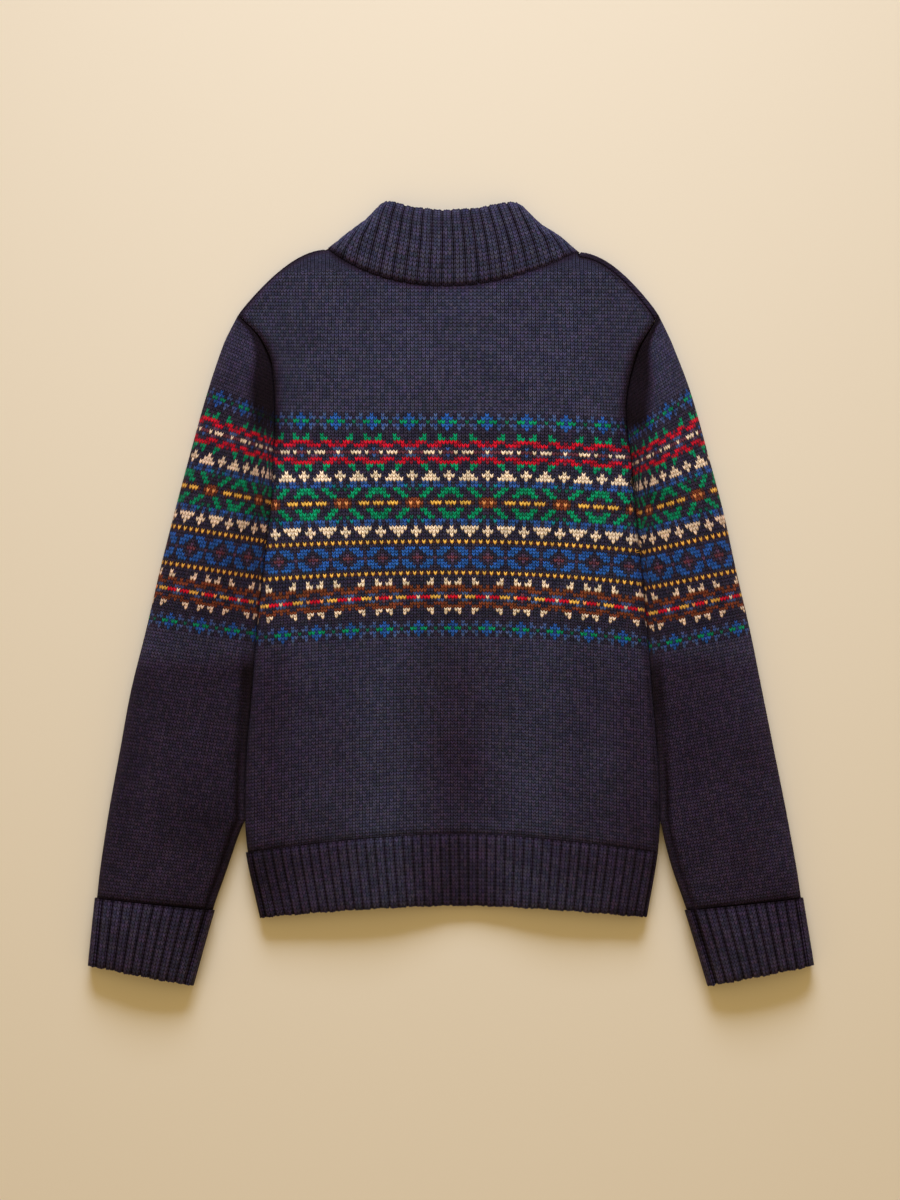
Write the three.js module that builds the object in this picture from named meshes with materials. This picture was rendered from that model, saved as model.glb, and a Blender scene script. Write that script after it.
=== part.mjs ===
// A child's fair isle jumper, laid flat with its back upwards.
// Millimetres. +X runs to the right, +Y from the hem to the collar, +Z up from the surface it lies on.
// Each knitted piece is a wall with a plain inner face, and ribs are raised on its outer face.
import * as THREE from 'three';

// Walls. The gap at a curved seam is larger, so that its straight steps keep clear too.
const KNIT_THICKNESS = 3;
const RIB_THICKNESS = 3.2;
const RIB_RELIEF = 1.4;
const CURVED_SEAM_GAP = 0.5;
const NORMAL_STEP = 0.002;

// Columns over a rib: its groove and the two shoulders of the raised part beside it.
const RIB_PROFILE = [
  { place: 0, raised: 0 },
  { place: 0.3, raised: 1 },
  { place: 0.7, raised: 1 },
];
const HEM_RIBS = 44;
const HEM_WAYS = [0, 0.5, 1];
const CUFF_TOP_RIBS = 12;
const CUFF_UNDER_STEPS = 8;

// Main places along Y
const SHOULDER_POINT_Y = 208;
const UNDERARM_Y = 84;
const HEM_SEAM_Y = -195;
const HEM_END_Y = -243.5;
const HEM_SEAM_RISE = 13.5;
const HEM_END_RISE = 8.5;

// Rolled edges: how far in from the outline a fold reaches, and where the seam lies on its round.
// A seam angle is 0 on the underside, 90 at the outline and 180 on top.
const SIDE_ROLL = 8;
const SHOULDER_ROLL = 6;
const LEFT_SEAM_ANGLE = 80;
const RIGHT_SEAM_ANGLE = 140;
const LEFT_SHOULDER_SEAM_ANGLE = 120;
const RIGHT_SHOULDER_SEAM_ANGLE = 160;
const SEAM_GAP_ANGLE = 1.5;
const SHOULDER_GAP_ANGLE = 3;
const UNDERARM_TURN = 9;

// Share of a panel's columns that goes round each folded side, and of a flat tube's that goes round its edge.
const PANEL_FOLD_SHARE = {
  back: { left: 0.036, right: 0.018 },
  front: { left: 0.03, right: 0.05 },
};
const EDGE_SHARE = 0.1;

// Neck: its ends as shares of the width, and how far it dips below the line between them.
const NECK = { left: 0.203, right: 0.81, backDip: 27, frontDip: 45, leftY: 257, rightY: 255 };
const NECK_LEAN = 0.87;
const NECK_BLEND = 0.02;

// Rows bend from straight at the hem towards the shoulders and neck.
const ROW_BEND_START = 0.35;
const ROW_BEND_POWER = 1.6;
const END_SHIFT_POWER = 8;
const SHOULDER_ROUNDNESS = 0.9;
const CROWN_ROUNDNESS = 0.8;

// Collar
const COLLAR_HALF_RIBS = 22;
const COLLAR_RAISED_RIBS = 14;
const COLLAR_PITCH_BASE = 8;
const COLLAR_PITCH_TOP = 6.4;
const COLLAR_ROLL = 7;

// Outline of the body between the shoulder points and the hem.
const BODY_SIDES = [
  { y: SHOULDER_POINT_Y, left: -159.5, right: 155.5 },
  { y: 195, left: -146, right: 147.5 },
  { y: 184, left: -139, right: 141 },
  { y: 172, left: -134.5, right: 137 },
  { y: 158, left: -132.8, right: 133.5 },
  { y: 140, left: -132, right: 131 },
  { y: 118, left: -132, right: 132.2 },
  { y: 98, left: -133, right: 135 },
  { y: 65, left: -135, right: 138 },
  { y: 35, left: -138.8, right: 141 },
  { y: 0, left: -142.5, right: 144.6 },
  { y: -35, left: -146.3, right: 147.7 },
  { y: -80, left: -149.8, right: 151.2 },
  { y: -125, left: -153.6, right: 155.1 },
  { y: -165, left: -154.6, right: 156.7 },
  { y: HEM_SEAM_Y, left: -152.3, right: 155.2 },
  { y: HEM_END_Y, left: -141.8, right: 147 },
];

// Height of the back over the surface, at five places across the body.
const BODY_HEIGHTS = [
  { y: 250, leftEdge: 11, leftRidge: 12.5, middle: 13, rightRidge: 12.5, rightEdge: 11 },
  { y: SHOULDER_POINT_Y, leftEdge: 9.5, leftRidge: 13, middle: 14, rightRidge: 13, rightEdge: 9.5 },
  { y: 160, leftEdge: 8.4, leftRidge: 14.5, middle: 15, rightRidge: 14.5, rightEdge: 8.4 },
  { y: 110, leftEdge: 8.6, leftRidge: 15.5, middle: 15.5, rightRidge: 15.5, rightEdge: 8.6 },
  { y: 60, leftEdge: 12, leftRidge: 16, middle: 15, rightRidge: 16, rightEdge: 12 },
  { y: 0, leftEdge: 13, leftRidge: 16.5, middle: 13.5, rightRidge: 16, rightEdge: 13 },
  { y: -60, leftEdge: 13, leftRidge: 16.5, middle: 10.5, rightRidge: 15.5, rightEdge: 13 },
  { y: -130, leftEdge: 13, leftRidge: 16, middle: 7.6, rightRidge: 15, rightEdge: 13 },
  { y: HEM_SEAM_Y, leftEdge: 12, leftRidge: 15, middle: 7.2, rightRidge: 14, rightEdge: 12 },
  { y: HEM_END_Y, leftEdge: 11, leftRidge: 13.5, middle: 7.4, rightRidge: 12.5, rightEdge: 11 },
];
const HEIGHT_PLACES = { leftEdge: 0, leftRidge: 0.3, middle: 0.53, rightRidge: 0.77, rightEdge: 1 };

// Outer fold of the sleeves, and the inner fold below the body's sides.
const SLEEVE_OUTER_EDGE = [
  { y: 208, left: -162, right: 158 },
  { y: 185, left: -171, right: 166.5 },
  { y: 151, left: -182.3, right: 179.3 },
  { y: 106, left: -195, right: 192 },
  { y: 61, left: -207, right: 204 },
  { y: 16, left: -218.3, right: 213.8 },
  { y: -29, left: -228.8, right: 224.3 },
  { y: -74, left: -240, right: 233.3 },
  { y: -119, left: -248.3, right: 242.3 },
  { y: -164, left: -256.5, right: 251.3 },
  { y: -209, left: -263.3, right: 259.5 },
  { y: -229, left: -265.5, right: 262.5 },
  { y: -280, left: -270.8, right: 270.8 },
];
const SLEEVE_INNER_EDGE = [
  { y: -172, left: -156.5, right: 158.4 },
  { y: -186, left: -160.5, right: 160 },
  { y: -208, left: -168, right: 166 },
  { y: -238, left: -178.5, right: 176.5 },
  { y: -294, left: -194.3, right: 193.5 },
];
const SLEEVE_BODY_CLEARANCE = 0.8;

// A sleeve's sections, from the armhole to the cuff: where each meets the outer and inner fold,
// how much of the armhole's curve it keeps, the reach and height of its folded edges, and its crown above them.
const SLEEVE_SECTIONS = [
  { outerY: 208, innerY: 84, bow: 1, roll: 6, edge: 8.6, crown: 0.2 },
  { outerY: 201, innerY: 81, bow: 0.93, roll: 8, edge: 9, crown: 2.6 },
  { outerY: 191, innerY: 77, bow: 0.84, roll: 8, edge: 10, crown: 6 },
  { outerY: 176, innerY: 70, bow: 0.7, roll: 8, edge: 11.5, crown: 8.2 },
  { outerY: 154, innerY: 59, bow: 0.5, roll: 8, edge: 12.5, crown: 9 },
  { outerY: 122, innerY: 42, bow: 0.28, roll: 8, edge: 13, crown: 8.6 },
  { outerY: 84, innerY: 17, bow: 0.1, roll: 8, edge: 13, crown: 8 },
  { outerY: 40, innerY: -15, bow: 0, roll: 8, edge: 13, crown: 7.4 },
  { outerY: -8, innerY: -52, bow: 0, roll: 8, edge: 13, crown: 7 },
  { outerY: -58, innerY: -92, bow: 0, roll: 8, edge: 13, crown: 6.6 },
  { outerY: -108, innerY: -133, bow: 0, roll: 8, edge: 13, crown: 6.2 },
  { outerY: -154, innerY: -172, bow: 0, roll: 8, edge: 12.8, crown: 5.6 },
  { outerY: -194, innerY: -207, bow: 0, roll: 8, edge: 12.4, crown: 4.6 },
  { outerY: -229, innerY: -238, bow: 0, roll: 8, edge: 12, crown: 3 },
];
const CUFF_SECTIONS = [
  { outerY: -229.4, innerY: -238.4, roll: 7, edge: 12.4, crown: 3 },
  { outerY: -246, innerY: -257, roll: 7, edge: 12.6, crown: 3.4 },
  { outerY: -263, innerY: -276, roll: 7, edge: 12.4, crown: 3.6 },
  { outerY: -279.5, innerY: -294.5, roll: 7, edge: 12, crown: 3.6 },
];

// Collar's folded sides from the neck to its top edge, the dip of its edge below the line between them
// on the back and on the front, the height of its folded edges, and its crown above them.
const COLLAR_SECTIONS = [
  { leftX: -91.8, leftY: 258.8, rightX: 94.2, rightY: 256.4, backDip: 27, frontDip: 45, edge: 11, crown: 2 },
  { leftX: -77.5, leftY: 268, rightX: 81.5, rightY: 265.5, backDip: 20, frontDip: 34, edge: 11.6, crown: 2.4 },
  { leftX: -63.5, leftY: 278, rightX: 67, rightY: 274.5, backDip: 14, frontDip: 24, edge: 12, crown: 2.6 },
  { leftX: -54.5, leftY: 287, rightX: 56, rightY: 285, backDip: 10, frontDip: 15, edge: 12.2, crown: 2.6 },
  { leftX: -48, leftY: 294.5, rightX: 48.5, rightY: 293.5, backDip: 8.5, frontDip: 11, edge: 12, crown: 2.4 },
];

// Rows of the panels by the height of their ends on the side: along the side, then along the armhole.
const SIDE_LEVELS = [HEM_SEAM_Y, -165, -125, -80, -35, 10, 50, 75];
const ARMHOLE_LEVELS = [97, 118, 140, 158, 172, 184, 195];
const SHOULDER_FOLD_WAYS = [1, 1.3, 1.55, 1.8, 2];

// Columns of the panels by their share of the width, closer beside the ends of the neck.
const PANEL_SHARES = [0, 0.05, 0.1, 0.15, 0.19, 0.212, 0.235, 0.265, 0.3, 0.35, 0.41, 0.47,
  0.53, 0.6, 0.66, 0.71, 0.75, 0.78, 0.806, 0.83, 0.87, 0.92, 0.96, 1];

const NAVY = '#1f2233';
const RIB_NAVY = '#1c1e2d';

function degrees(angle) {
  return THREE.MathUtils.degToRad(angle);
}

function clamp(value, low, high) {
  return THREE.MathUtils.clamp(value, low, high);
}

function smooth(value, low, high) {
  return THREE.MathUtils.smoothstep(value, low, high);
}

// Smooth curve through one column of a table, read at a value of its key column.
function readTable(table, key, column, value) {
  const rising = table[1][key] > table[0][key];
  const rows = rising ? table : [...table].reverse();
  const last = rows.length - 1;
  const at = clamp(value, rows[0][key], rows[last][key]);
  let i = 0;
  while (i < last - 1 && at > rows[i + 1][key]) i += 1;
  const slope = (j) => {
    const before = rows[Math.max(j - 1, 0)];
    const after = rows[Math.min(j + 1, last)];
    return (after[column] - before[column]) / (after[key] - before[key]);
  };
  const width = rows[i + 1][key] - rows[i][key];
  const t = (at - rows[i][key]) / width;
  const start = rows[i][column];
  const end = rows[i + 1][column];
  const startTangent = slope(i) * width;
  const endTangent = slope(i + 1) * width;
  const bend = t * t * (3 - 2 * t);
  return start + (end - start) * bend + startTangent * t * (1 - t) ** 2 - endTangent * t * t * (1 - t);
}

// Straight blend between a table's sections, for a place counted in sections.
function blendSections(sections, place) {
  const i = Math.min(Math.floor(place), sections.length - 2);
  const t = place - i;
  const blended = {};
  for (const column of Object.keys(sections[i])) {
    blended[column] = THREE.MathUtils.lerp(sections[i][column], sections[i + 1][column], t);
  }
  return blended;
}

// A closed wall between an outer surface and its copy moved in by the thickness.
// pointAt(u, v) is the surface. columns hold each u and rows each v, in the order that faces outwards.
// relief(column, point) says how far each outer point is raised.
function knittedWall({ pointAt, columns, rows, thickness, closed = false, relief = () => 0 }) {
  const count = columns.length;
  const outerPoints = [];
  const innerPoints = [];
  const turn = Math.sign(columns[1].u - columns[0].u);
  for (const v of rows) {
    for (const column of columns) {
      const point = pointAt(column.u, v);
      const across = pointAt(column.u + turn * NORMAL_STEP, v).sub(pointAt(column.u - turn * NORMAL_STEP, v));
      const along = pointAt(column.u, v + NORMAL_STEP).sub(pointAt(column.u, v - NORMAL_STEP));
      const outward = across.cross(along).normalize();
      const raised = point.clone().addScaledVector(outward, relief(column, point));
      raised.z = Math.max(raised.z, 0);
      outerPoints.push(raised.x, raised.y, raised.z);
      innerPoints.push(...point.addScaledVector(outward, -thickness));
    }
  }
  const position = [...outerPoints, ...innerPoints];
  const outer = (i, j) => i * count + j;
  const inner = (i, j) => rows.length * count + i * count + j;
  const index = [];
  const quad = (a, b, c, d) => index.push(a, b, c, a, c, d);
  const top = rows.length - 1;
  const strips = closed ? count : count - 1;
  for (let j = 0; j < strips; j += 1) {
    const next = (j + 1) % count;
    for (let i = 0; i < top; i += 1) {
      quad(outer(i, j), outer(i, next), outer(i + 1, next), outer(i + 1, j));
      quad(inner(i, j), inner(i + 1, j), inner(i + 1, next), inner(i, next));
    }
    quad(outer(0, j), inner(0, j), inner(0, next), outer(0, next));
    quad(outer(top, j), outer(top, next), inner(top, next), inner(top, j));
  }
  if (!closed) {
    const end = count - 1;
    for (let i = 0; i < top; i += 1) {
      quad(outer(i, 0), outer(i + 1, 0), inner(i + 1, 0), inner(i, 0));
      quad(outer(i, end), inner(i, end), inner(i + 1, end), outer(i + 1, end));
    }
  }
  const geometry = new THREE.BufferGeometry();
  geometry.setAttribute('position', new THREE.Float32BufferAttribute(position, 3));
  geometry.setIndex(index);
  geometry.computeVertexNormals();
  return geometry;
}

// A point on a flattened tube. turn is -1 to 1 over the top from left to right, and 1 to 3 back underneath.
function tubePoint(turn, section) {
  const { planAt, width, roll, edge, crown } = section;
  const overTop = turn <= 1;
  const run = overTop ? (turn + 1) / 2 : (3 - turn) / 2;
  const inset = roll / width;
  let angle = overTop ? 180 : 0;
  let share = inset + (1 - 2 * inset) * (run - EDGE_SHARE) / (1 - 2 * EDGE_SHARE);
  const quarter = overTop ? -90 : 90;
  if (run < EDGE_SHARE) {
    angle += quarter * (1 - run / EDGE_SHARE);
    share = inset * (1 - Math.sin(degrees(angle)));
  } else if (run > 1 - EDGE_SHARE) {
    angle += quarter * (1 - (1 - run) / EDGE_SHARE);
    share = 1 - inset * (1 - Math.sin(degrees(angle)));
  }
  const [x, y] = planAt(share, overTop);
  const height = edge / 2 * (1 - Math.cos(degrees(angle)));
  const lift = overTop ? crown * Math.sin(Math.PI * clamp(share, 0, 1)) ** CROWN_ROUNDNESS : 0;
  return new THREE.Vector3(x, y, height + lift);
}

// Body panels. run is 0 to 1 from the left seam to the right seam. way is 0 at the hem seam,
// 1 where the panel starts to fold over the shoulders, and 2 at the shoulder seam and the neck.
// Curve of the neck between its ends: 0 at both and 1 at its lowest, a little left of the middle.
function neckCurve(share) {
  const lean = clamp(share, 0, 1) ** NECK_LEAN;
  return 4 * lean * (1 - lean);
}

function shoulderLine(run) {
  return Math.sin(clamp(run, 0, 1) * Math.PI / 2) ** SHOULDER_ROUNDNESS;
}

function topLine(share, isBack) {
  const middle = clamp((share - NECK.left) / (NECK.right - NECK.left), 0, 1);
  const level = THREE.MathUtils.lerp(NECK.leftY, NECK.rightY, middle);
  const rise = level - SHOULDER_POINT_Y;
  if (share < NECK.left) return SHOULDER_POINT_Y + rise * shoulderLine(share / NECK.left);
  if (share > NECK.right) return SHOULDER_POINT_Y + rise * shoulderLine((1 - share) / (1 - NECK.right));
  const dip = isBack ? NECK.backDip : NECK.frontDip;
  return level - dip * neckCurve(middle);
}

function hemLine(share, depth) {
  const level = THREE.MathUtils.lerp(HEM_SEAM_Y, HEM_END_Y, depth);
  const rise = THREE.MathUtils.lerp(HEM_SEAM_RISE, HEM_END_RISE, depth);
  return level + rise * Math.sin(Math.PI * share);
}

function bodyHeight(share, y) {
  const places = Object.keys(HEIGHT_PLACES).map((name) => ({
    share: HEIGHT_PLACES[name],
    height: readTable(BODY_HEIGHTS, 'y', name, y),
  }));
  return readTable(places, 'share', 'height', share);
}

function sideX(y, share) {
  const left = readTable(BODY_SIDES, 'y', 'left', y);
  const right = readTable(BODY_SIDES, 'y', 'right', y);
  return THREE.MathUtils.lerp(left, right, share);
}

// Share of the width and angle round the side fold of a place across a panel.
// rolled is 0 along an armhole, where the panel ends flat, and 1 where its side is folded.
function acrossPanel(run, isBack, width, rolled) {
  const inset = SIDE_ROLL / width;
  const flatAngle = isBack ? 180 : 0;
  const part = isBack ? PANEL_FOLD_SHARE.back : PANEL_FOLD_SHARE.front;
  const gapAngle = isBack ? SEAM_GAP_ANGLE : -SEAM_GAP_ANGLE;
  const turn = (progress, seamAngle) => {
    const angle = THREE.MathUtils.lerp(flatAngle, seamAngle + gapAngle, progress);
    const flatShare = inset * (1 - progress);
    const roundShare = inset * (1 - Math.sin(degrees(angle)));
    return { angle, share: THREE.MathUtils.lerp(flatShare, roundShare, rolled) };
  };
  if (run < part.left) return turn(1 - run / part.left, LEFT_SEAM_ANGLE);
  if (run > 1 - part.right) {
    const turned = turn(1 - (1 - run) / part.right, RIGHT_SEAM_ANGLE);
    return { angle: turned.angle, share: 1 - turned.share };
  }
  const flatRun = (run - part.left) / (1 - part.left - part.right);
  return { angle: flatAngle, share: THREE.MathUtils.lerp(inset, 1 - inset, flatRun) };
}

function panelHeight(place, isBack, width, y, rolled) {
  const inset = SIDE_ROLL / width;
  const top = bodyHeight(clamp((place.share - inset) / (1 - 2 * inset), 0, 1), y);
  const round = top / 2 * (1 - Math.cos(degrees(place.angle)));
  const flat = isBack ? top : 0;
  return THREE.MathUtils.lerp(flat, round, rolled);
}

function panelPoint(run, way, isBack) {
  const climb = Math.min(way, 1);
  const fold = Math.max(way - 1, 0);
  const bend = clamp((climb - ROW_BEND_START) / (1 - ROW_BEND_START), 0, 1) ** ROW_BEND_POWER;
  const seamAngle = run < 0.5 ? LEFT_SHOULDER_SEAM_ANGLE : RIGHT_SHOULDER_SEAM_ANGLE;
  const gapAngle = isBack ? SHOULDER_GAP_ANGLE : -SHOULDER_GAP_ANGLE;
  const angleAt = (foldNow) => THREE.MathUtils.lerp(isBack ? 180 : 0, seamAngle + gapAngle, foldNow);
  const shoulderness = (share) => 1 - smooth(share, NECK.left - NECK_BLEND, NECK.left)
    + smooth(share, NECK.right, NECK.right + NECK_BLEND);
  const rowY = (share, foldNow = fold) => {
    const level = THREE.MathUtils.lerp(hemLine(share, 0), SHOULDER_POINT_Y - SHOULDER_ROLL, climb);
    const over = THREE.MathUtils.lerp(foldNow, Math.sin(degrees(angleAt(foldNow))), shoulderness(share));
    return level + bend * (topLine(share, isBack) - SHOULDER_POINT_Y) + SHOULDER_ROLL * over;
  };
  const leftX = sideX(rowY(0, 0), 0);
  const rightX = sideX(rowY(1, 0), 1);
  const leftShift = sideX(rowY(0), 0) - leftX;
  const rightShift = sideX(rowY(1), 1) - rightX;
  const width = rightX - leftX;
  const rolled = 1 - smooth(rowY(0), UNDERARM_Y - UNDERARM_TURN, UNDERARM_Y + UNDERARM_TURN);
  const place = acrossPanel(run, isBack, width, rolled);
  const y = rowY(place.share);
  const height = panelHeight(place, isBack, width, y, rolled);
  const round = bodyHeight(place.share, y) / 2 * (1 - Math.cos(degrees(angleAt(fold))));
  const z = fold > 0 ? THREE.MathUtils.lerp(height, round, shoulderness(place.share)) : height;
  const endShift = leftShift * (1 - place.share) ** END_SHIFT_POWER
    + rightShift * place.share ** END_SHIFT_POWER;
  return new THREE.Vector3(leftX + width * place.share + endShift, y, z);
}

// Columns across a panel, with two more round each folded side.
function panelColumns(isBack) {
  const part = isBack ? PANEL_FOLD_SHARE.back : PANEL_FOLD_SHARE.front;
  const runs = [0, part.left * 0.35, part.left * 0.7];
  for (const share of PANEL_SHARES) runs.push(THREE.MathUtils.lerp(part.left, 1 - part.right, share));
  runs.push(1 - part.right * 0.7, 1 - part.right * 0.35, 1);
  const columns = runs.map((u) => ({ u }));
  return isBack ? columns : columns.reverse();
}

function bodyPanel(isBack) {
  const levels = [...SIDE_LEVELS, ...ARMHOLE_LEVELS];
  const climbs = levels.map((y) => (y - HEM_SEAM_Y) / (SHOULDER_POINT_Y - SHOULDER_ROLL - HEM_SEAM_Y));
  return knittedWall({
    pointAt: (run, way) => panelPoint(run, way, isBack),
    columns: panelColumns(isBack),
    rows: [...climbs, ...SHOULDER_FOLD_WAYS],
    thickness: KNIT_THICKNESS,
  });
}

// Hem rib: the same folded outline. way is 0 at its end and 1 at the hem seam.
function hemPoint(run, way, isBack) {
  const depth = 1 - way;
  const endY = hemLine(0, depth);
  const leftX = sideX(endY, 0);
  const width = sideX(endY, 1) - leftX;
  const place = acrossPanel(run, isBack, width, 1);
  const y = hemLine(place.share, depth) - CURVED_SEAM_GAP * way;
  return new THREE.Vector3(leftX + width * place.share, y, panelHeight(place, isBack, width, y, 1));
}

function ribColumns(start, end) {
  const columns = [];
  for (let rib = start; rib < end; rib += 1) {
    for (const { place, raised } of RIB_PROFILE) columns.push({ place: rib + place, raised });
  }
  return columns;
}

// Sleeves
function sleeveEdgeX(side, y, isOuter) {
  const outward = side === 'left' ? -1 : 1;
  if (isOuter) return readTable(SLEEVE_OUTER_EDGE, 'y', side, y);
  if (y < SLEEVE_INNER_EDGE[0].y) return readTable(SLEEVE_INNER_EDGE, 'y', side, y);
  return readTable(BODY_SIDES, 'y', side, y) + outward * SLEEVE_BODY_CLEARANCE;
}

function armholePoint(side, share) {
  const y = THREE.MathUtils.lerp(SHOULDER_POINT_Y, UNDERARM_Y, share);
  const outward = side === 'left' ? -1 : 1;
  return [readTable(BODY_SIDES, 'y', side, y) + outward * CURVED_SEAM_GAP, y];
}

function sleeveSection(side, blended) {
  const outerEnd = [sleeveEdgeX(side, blended.outerY, true), blended.outerY];
  const innerEnd = [sleeveEdgeX(side, blended.innerY, false), blended.innerY];
  const shoulder = armholePoint(side, 0);
  const underarm = armholePoint(side, 1);
  const planAt = (share) => {
    const fromOuter = side === 'left' ? share : 1 - share;
    const seam = armholePoint(side, fromOuter);
    return [0, 1].map((axis) => {
      const chord = THREE.MathUtils.lerp(shoulder[axis], underarm[axis], fromOuter);
      const straight = THREE.MathUtils.lerp(outerEnd[axis], innerEnd[axis], fromOuter);
      return straight + (blended.bow ?? 0) * (seam[axis] - chord);
    });
  };
  const width = Math.hypot(outerEnd[0] - innerEnd[0], outerEnd[1] - innerEnd[1]);
  return { planAt, width, roll: blended.roll, edge: blended.edge, crown: blended.crown };
}

// Places round a sleeve: three round each fold, and between them one for each row end of the panels.
function sleeveTurns(side) {
  const inset = SLEEVE_SECTIONS[0].roll / sleeveSection(side, SLEEVE_SECTIONS[0]).width;
  const across = ARMHOLE_LEVELS.map((y) => {
    const fromOuter = (SHOULDER_POINT_Y - y) / (SHOULDER_POINT_Y - UNDERARM_Y);
    const share = side === 'left' ? fromOuter : 1 - fromOuter;
    return EDGE_SHARE + (1 - 2 * EDGE_SHARE) * (share - inset) / (1 - 2 * inset);
  }).sort((a, b) => a - b);
  const steps = [0, 0.035, 0.07, EDGE_SHARE, ...across, 1 - EDGE_SHARE, 0.93, 0.965];
  const under = steps.slice(1).map((step) => 1 - step).reverse();
  return [
    ...steps.map((step) => ({ u: -1 + 2 * step })),
    { u: 1 },
    ...under.map((step) => ({ u: 1 + 2 * step })),
  ];
}

// way counts sections up from the cuff.
function sleevePoint(side, table, turn, way) {
  const place = table.length - 1 - clamp(way, 0, table.length - 1);
  return tubePoint(turn, sleeveSection(side, blendSections(table, place)));
}

function sleeveWall(side) {
  return knittedWall({
    pointAt: (turn, way) => sleevePoint(side, SLEEVE_SECTIONS, turn, way),
    columns: sleeveTurns(side),
    rows: SLEEVE_SECTIONS.map((section, i) => i),
    thickness: KNIT_THICKNESS,
    closed: true,
  });
}

function cuffWall(side) {
  const columns = ribColumns(0, CUFF_TOP_RIBS).map(({ place, raised }) => (
    { u: -1 + 2 * place / CUFF_TOP_RIBS, raised }));
  for (let i = 0; i < CUFF_UNDER_STEPS; i += 1) columns.push({ u: 1 + 2 * i / CUFF_UNDER_STEPS, raised: 0 });
  return knittedWall({
    pointAt: (turn, way) => sleevePoint(side, CUFF_SECTIONS, turn, way),
    columns,
    rows: CUFF_SECTIONS.map((section, i) => i),
    thickness: RIB_THICKNESS,
    closed: true,
    relief: (column) => RIB_RELIEF * column.raised,
  });
}

// Collar: the ribs of its back keep their pitch and turn round its folded sides as it narrows.
function collarSection(row) {
  const planAt = (share, overTop) => {
    const dip = overTop ? row.backDip : row.frontDip;
    const x = THREE.MathUtils.lerp(row.leftX, row.rightX, share);
    const level = THREE.MathUtils.lerp(row.leftY, row.rightY, share);
    return [x, level - dip * neckCurve(share)];
  };
  return { planAt, width: row.rightX - row.leftX, roll: COLLAR_ROLL, edge: row.edge, crown: row.crown };
}

function collarPoint(place, way) {
  const last = COLLAR_SECTIONS.length - 1;
  const section = collarSection(blendSections(COLLAR_SECTIONS, clamp(way, 0, last)));
  const pitch = THREE.MathUtils.lerp(COLLAR_PITCH_BASE, COLLAR_PITCH_TOP, clamp(way / last, 0, 1));
  const backRibs = section.width / 2 / pitch;
  const beyond = Math.abs(place) - backRibs;
  if (beyond <= 0) return tubePoint(place / backRibs, section);
  const turned = 1 + beyond / (COLLAR_HALF_RIBS - backRibs);
  return tubePoint(place < 0 ? 4 - turned : turned, section);
}

function collarWall() {
  const columns = ribColumns(-COLLAR_HALF_RIBS, COLLAR_HALF_RIBS)
    .filter(({ place, raised }) => Math.abs(place) < COLLAR_RAISED_RIBS || raised === 0)
    .map(({ place, raised }) => ({ u: place, raised }));
  return knittedWall({
    pointAt: collarPoint,
    columns,
    rows: COLLAR_SECTIONS.map((row, i) => i),
    thickness: RIB_THICKNESS,
    closed: true,
    relief: (column, point) => RIB_RELIEF * column.raised * smooth(point.z, 0.5, 4),
  });
}

function hemBackWall() {
  const columns = ribColumns(0, HEM_RIBS);
  columns.push({ place: HEM_RIBS, raised: 0 });
  return knittedWall({
    pointAt: (run, way) => hemPoint(run, way, true),
    columns: columns.map(({ place, raised }) => ({ u: place / HEM_RIBS, raised })),
    rows: HEM_WAYS,
    thickness: RIB_THICKNESS,
    relief: (column) => RIB_RELIEF * column.raised,
  });
}

function hemFrontWall() {
  return knittedWall({
    pointAt: (run, way) => hemPoint(run, way, false),
    columns: panelColumns(false),
    rows: HEM_WAYS,
    thickness: RIB_THICKNESS,
  });
}

const jumper = new THREE.Group();

function addPiece(name, geometry, color) {
  const material = new THREE.MeshStandardMaterial({ color, roughness: 0.95, metalness: 0 });
  const mesh = new THREE.Mesh(geometry, material);
  mesh.name = name;
  jumper.add(mesh);
}

addPiece('back', bodyPanel(true), NAVY);
addPiece('front', bodyPanel(false), NAVY);
addPiece('hem_band_back', hemBackWall(), RIB_NAVY);
addPiece('hem_band_front', hemFrontWall(), RIB_NAVY);
for (const side of ['left', 'right']) {
  addPiece(`sleeve_${side}`, sleeveWall(side), NAVY);
  addPiece(`cuff_${side}`, cuffWall(side), RIB_NAVY);
}
addPiece('collar', collarWall(), RIB_NAVY);

export default jumper;
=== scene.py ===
import math

import bpy
import numpy as np
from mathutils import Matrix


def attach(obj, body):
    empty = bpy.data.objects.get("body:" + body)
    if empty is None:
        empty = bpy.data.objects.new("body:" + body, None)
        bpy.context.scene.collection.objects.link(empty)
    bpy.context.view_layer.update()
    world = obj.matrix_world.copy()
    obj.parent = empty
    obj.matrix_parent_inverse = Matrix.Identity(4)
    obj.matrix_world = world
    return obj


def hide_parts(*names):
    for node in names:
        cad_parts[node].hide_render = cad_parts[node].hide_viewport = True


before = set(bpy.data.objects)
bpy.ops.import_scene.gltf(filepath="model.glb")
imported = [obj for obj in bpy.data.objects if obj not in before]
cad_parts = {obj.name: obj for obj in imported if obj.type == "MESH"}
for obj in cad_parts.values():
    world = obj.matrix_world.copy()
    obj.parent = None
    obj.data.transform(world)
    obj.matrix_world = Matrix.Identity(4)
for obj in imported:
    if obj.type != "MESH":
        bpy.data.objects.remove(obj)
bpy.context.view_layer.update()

MM = 0.001
FAR = 1e9
TINY = 1e-9

# Walls and ribs
KNIT_WALL = 2.6
RIB_WALL = 2.4
RIB_RELIEF = 1.7
SEAM_GAP = 0.02
STITCHES_PER_RIB = 3

# How far the ribs' free ends stick out, and how far in from the edge that goes
SCALLOP = 0.55
SCALLOP_REACH = 3.5

# Main places along Y, and the rise of the hem's rows in the middle
SHOULDER_POINT_Y = 208
UNDERARM_Y = 84
HEM_SEAM_Y = -195
HEM_END_Y = -243.5
HEM_SEAM_RISE = 13.5
HEM_END_RISE = 8.5

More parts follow.
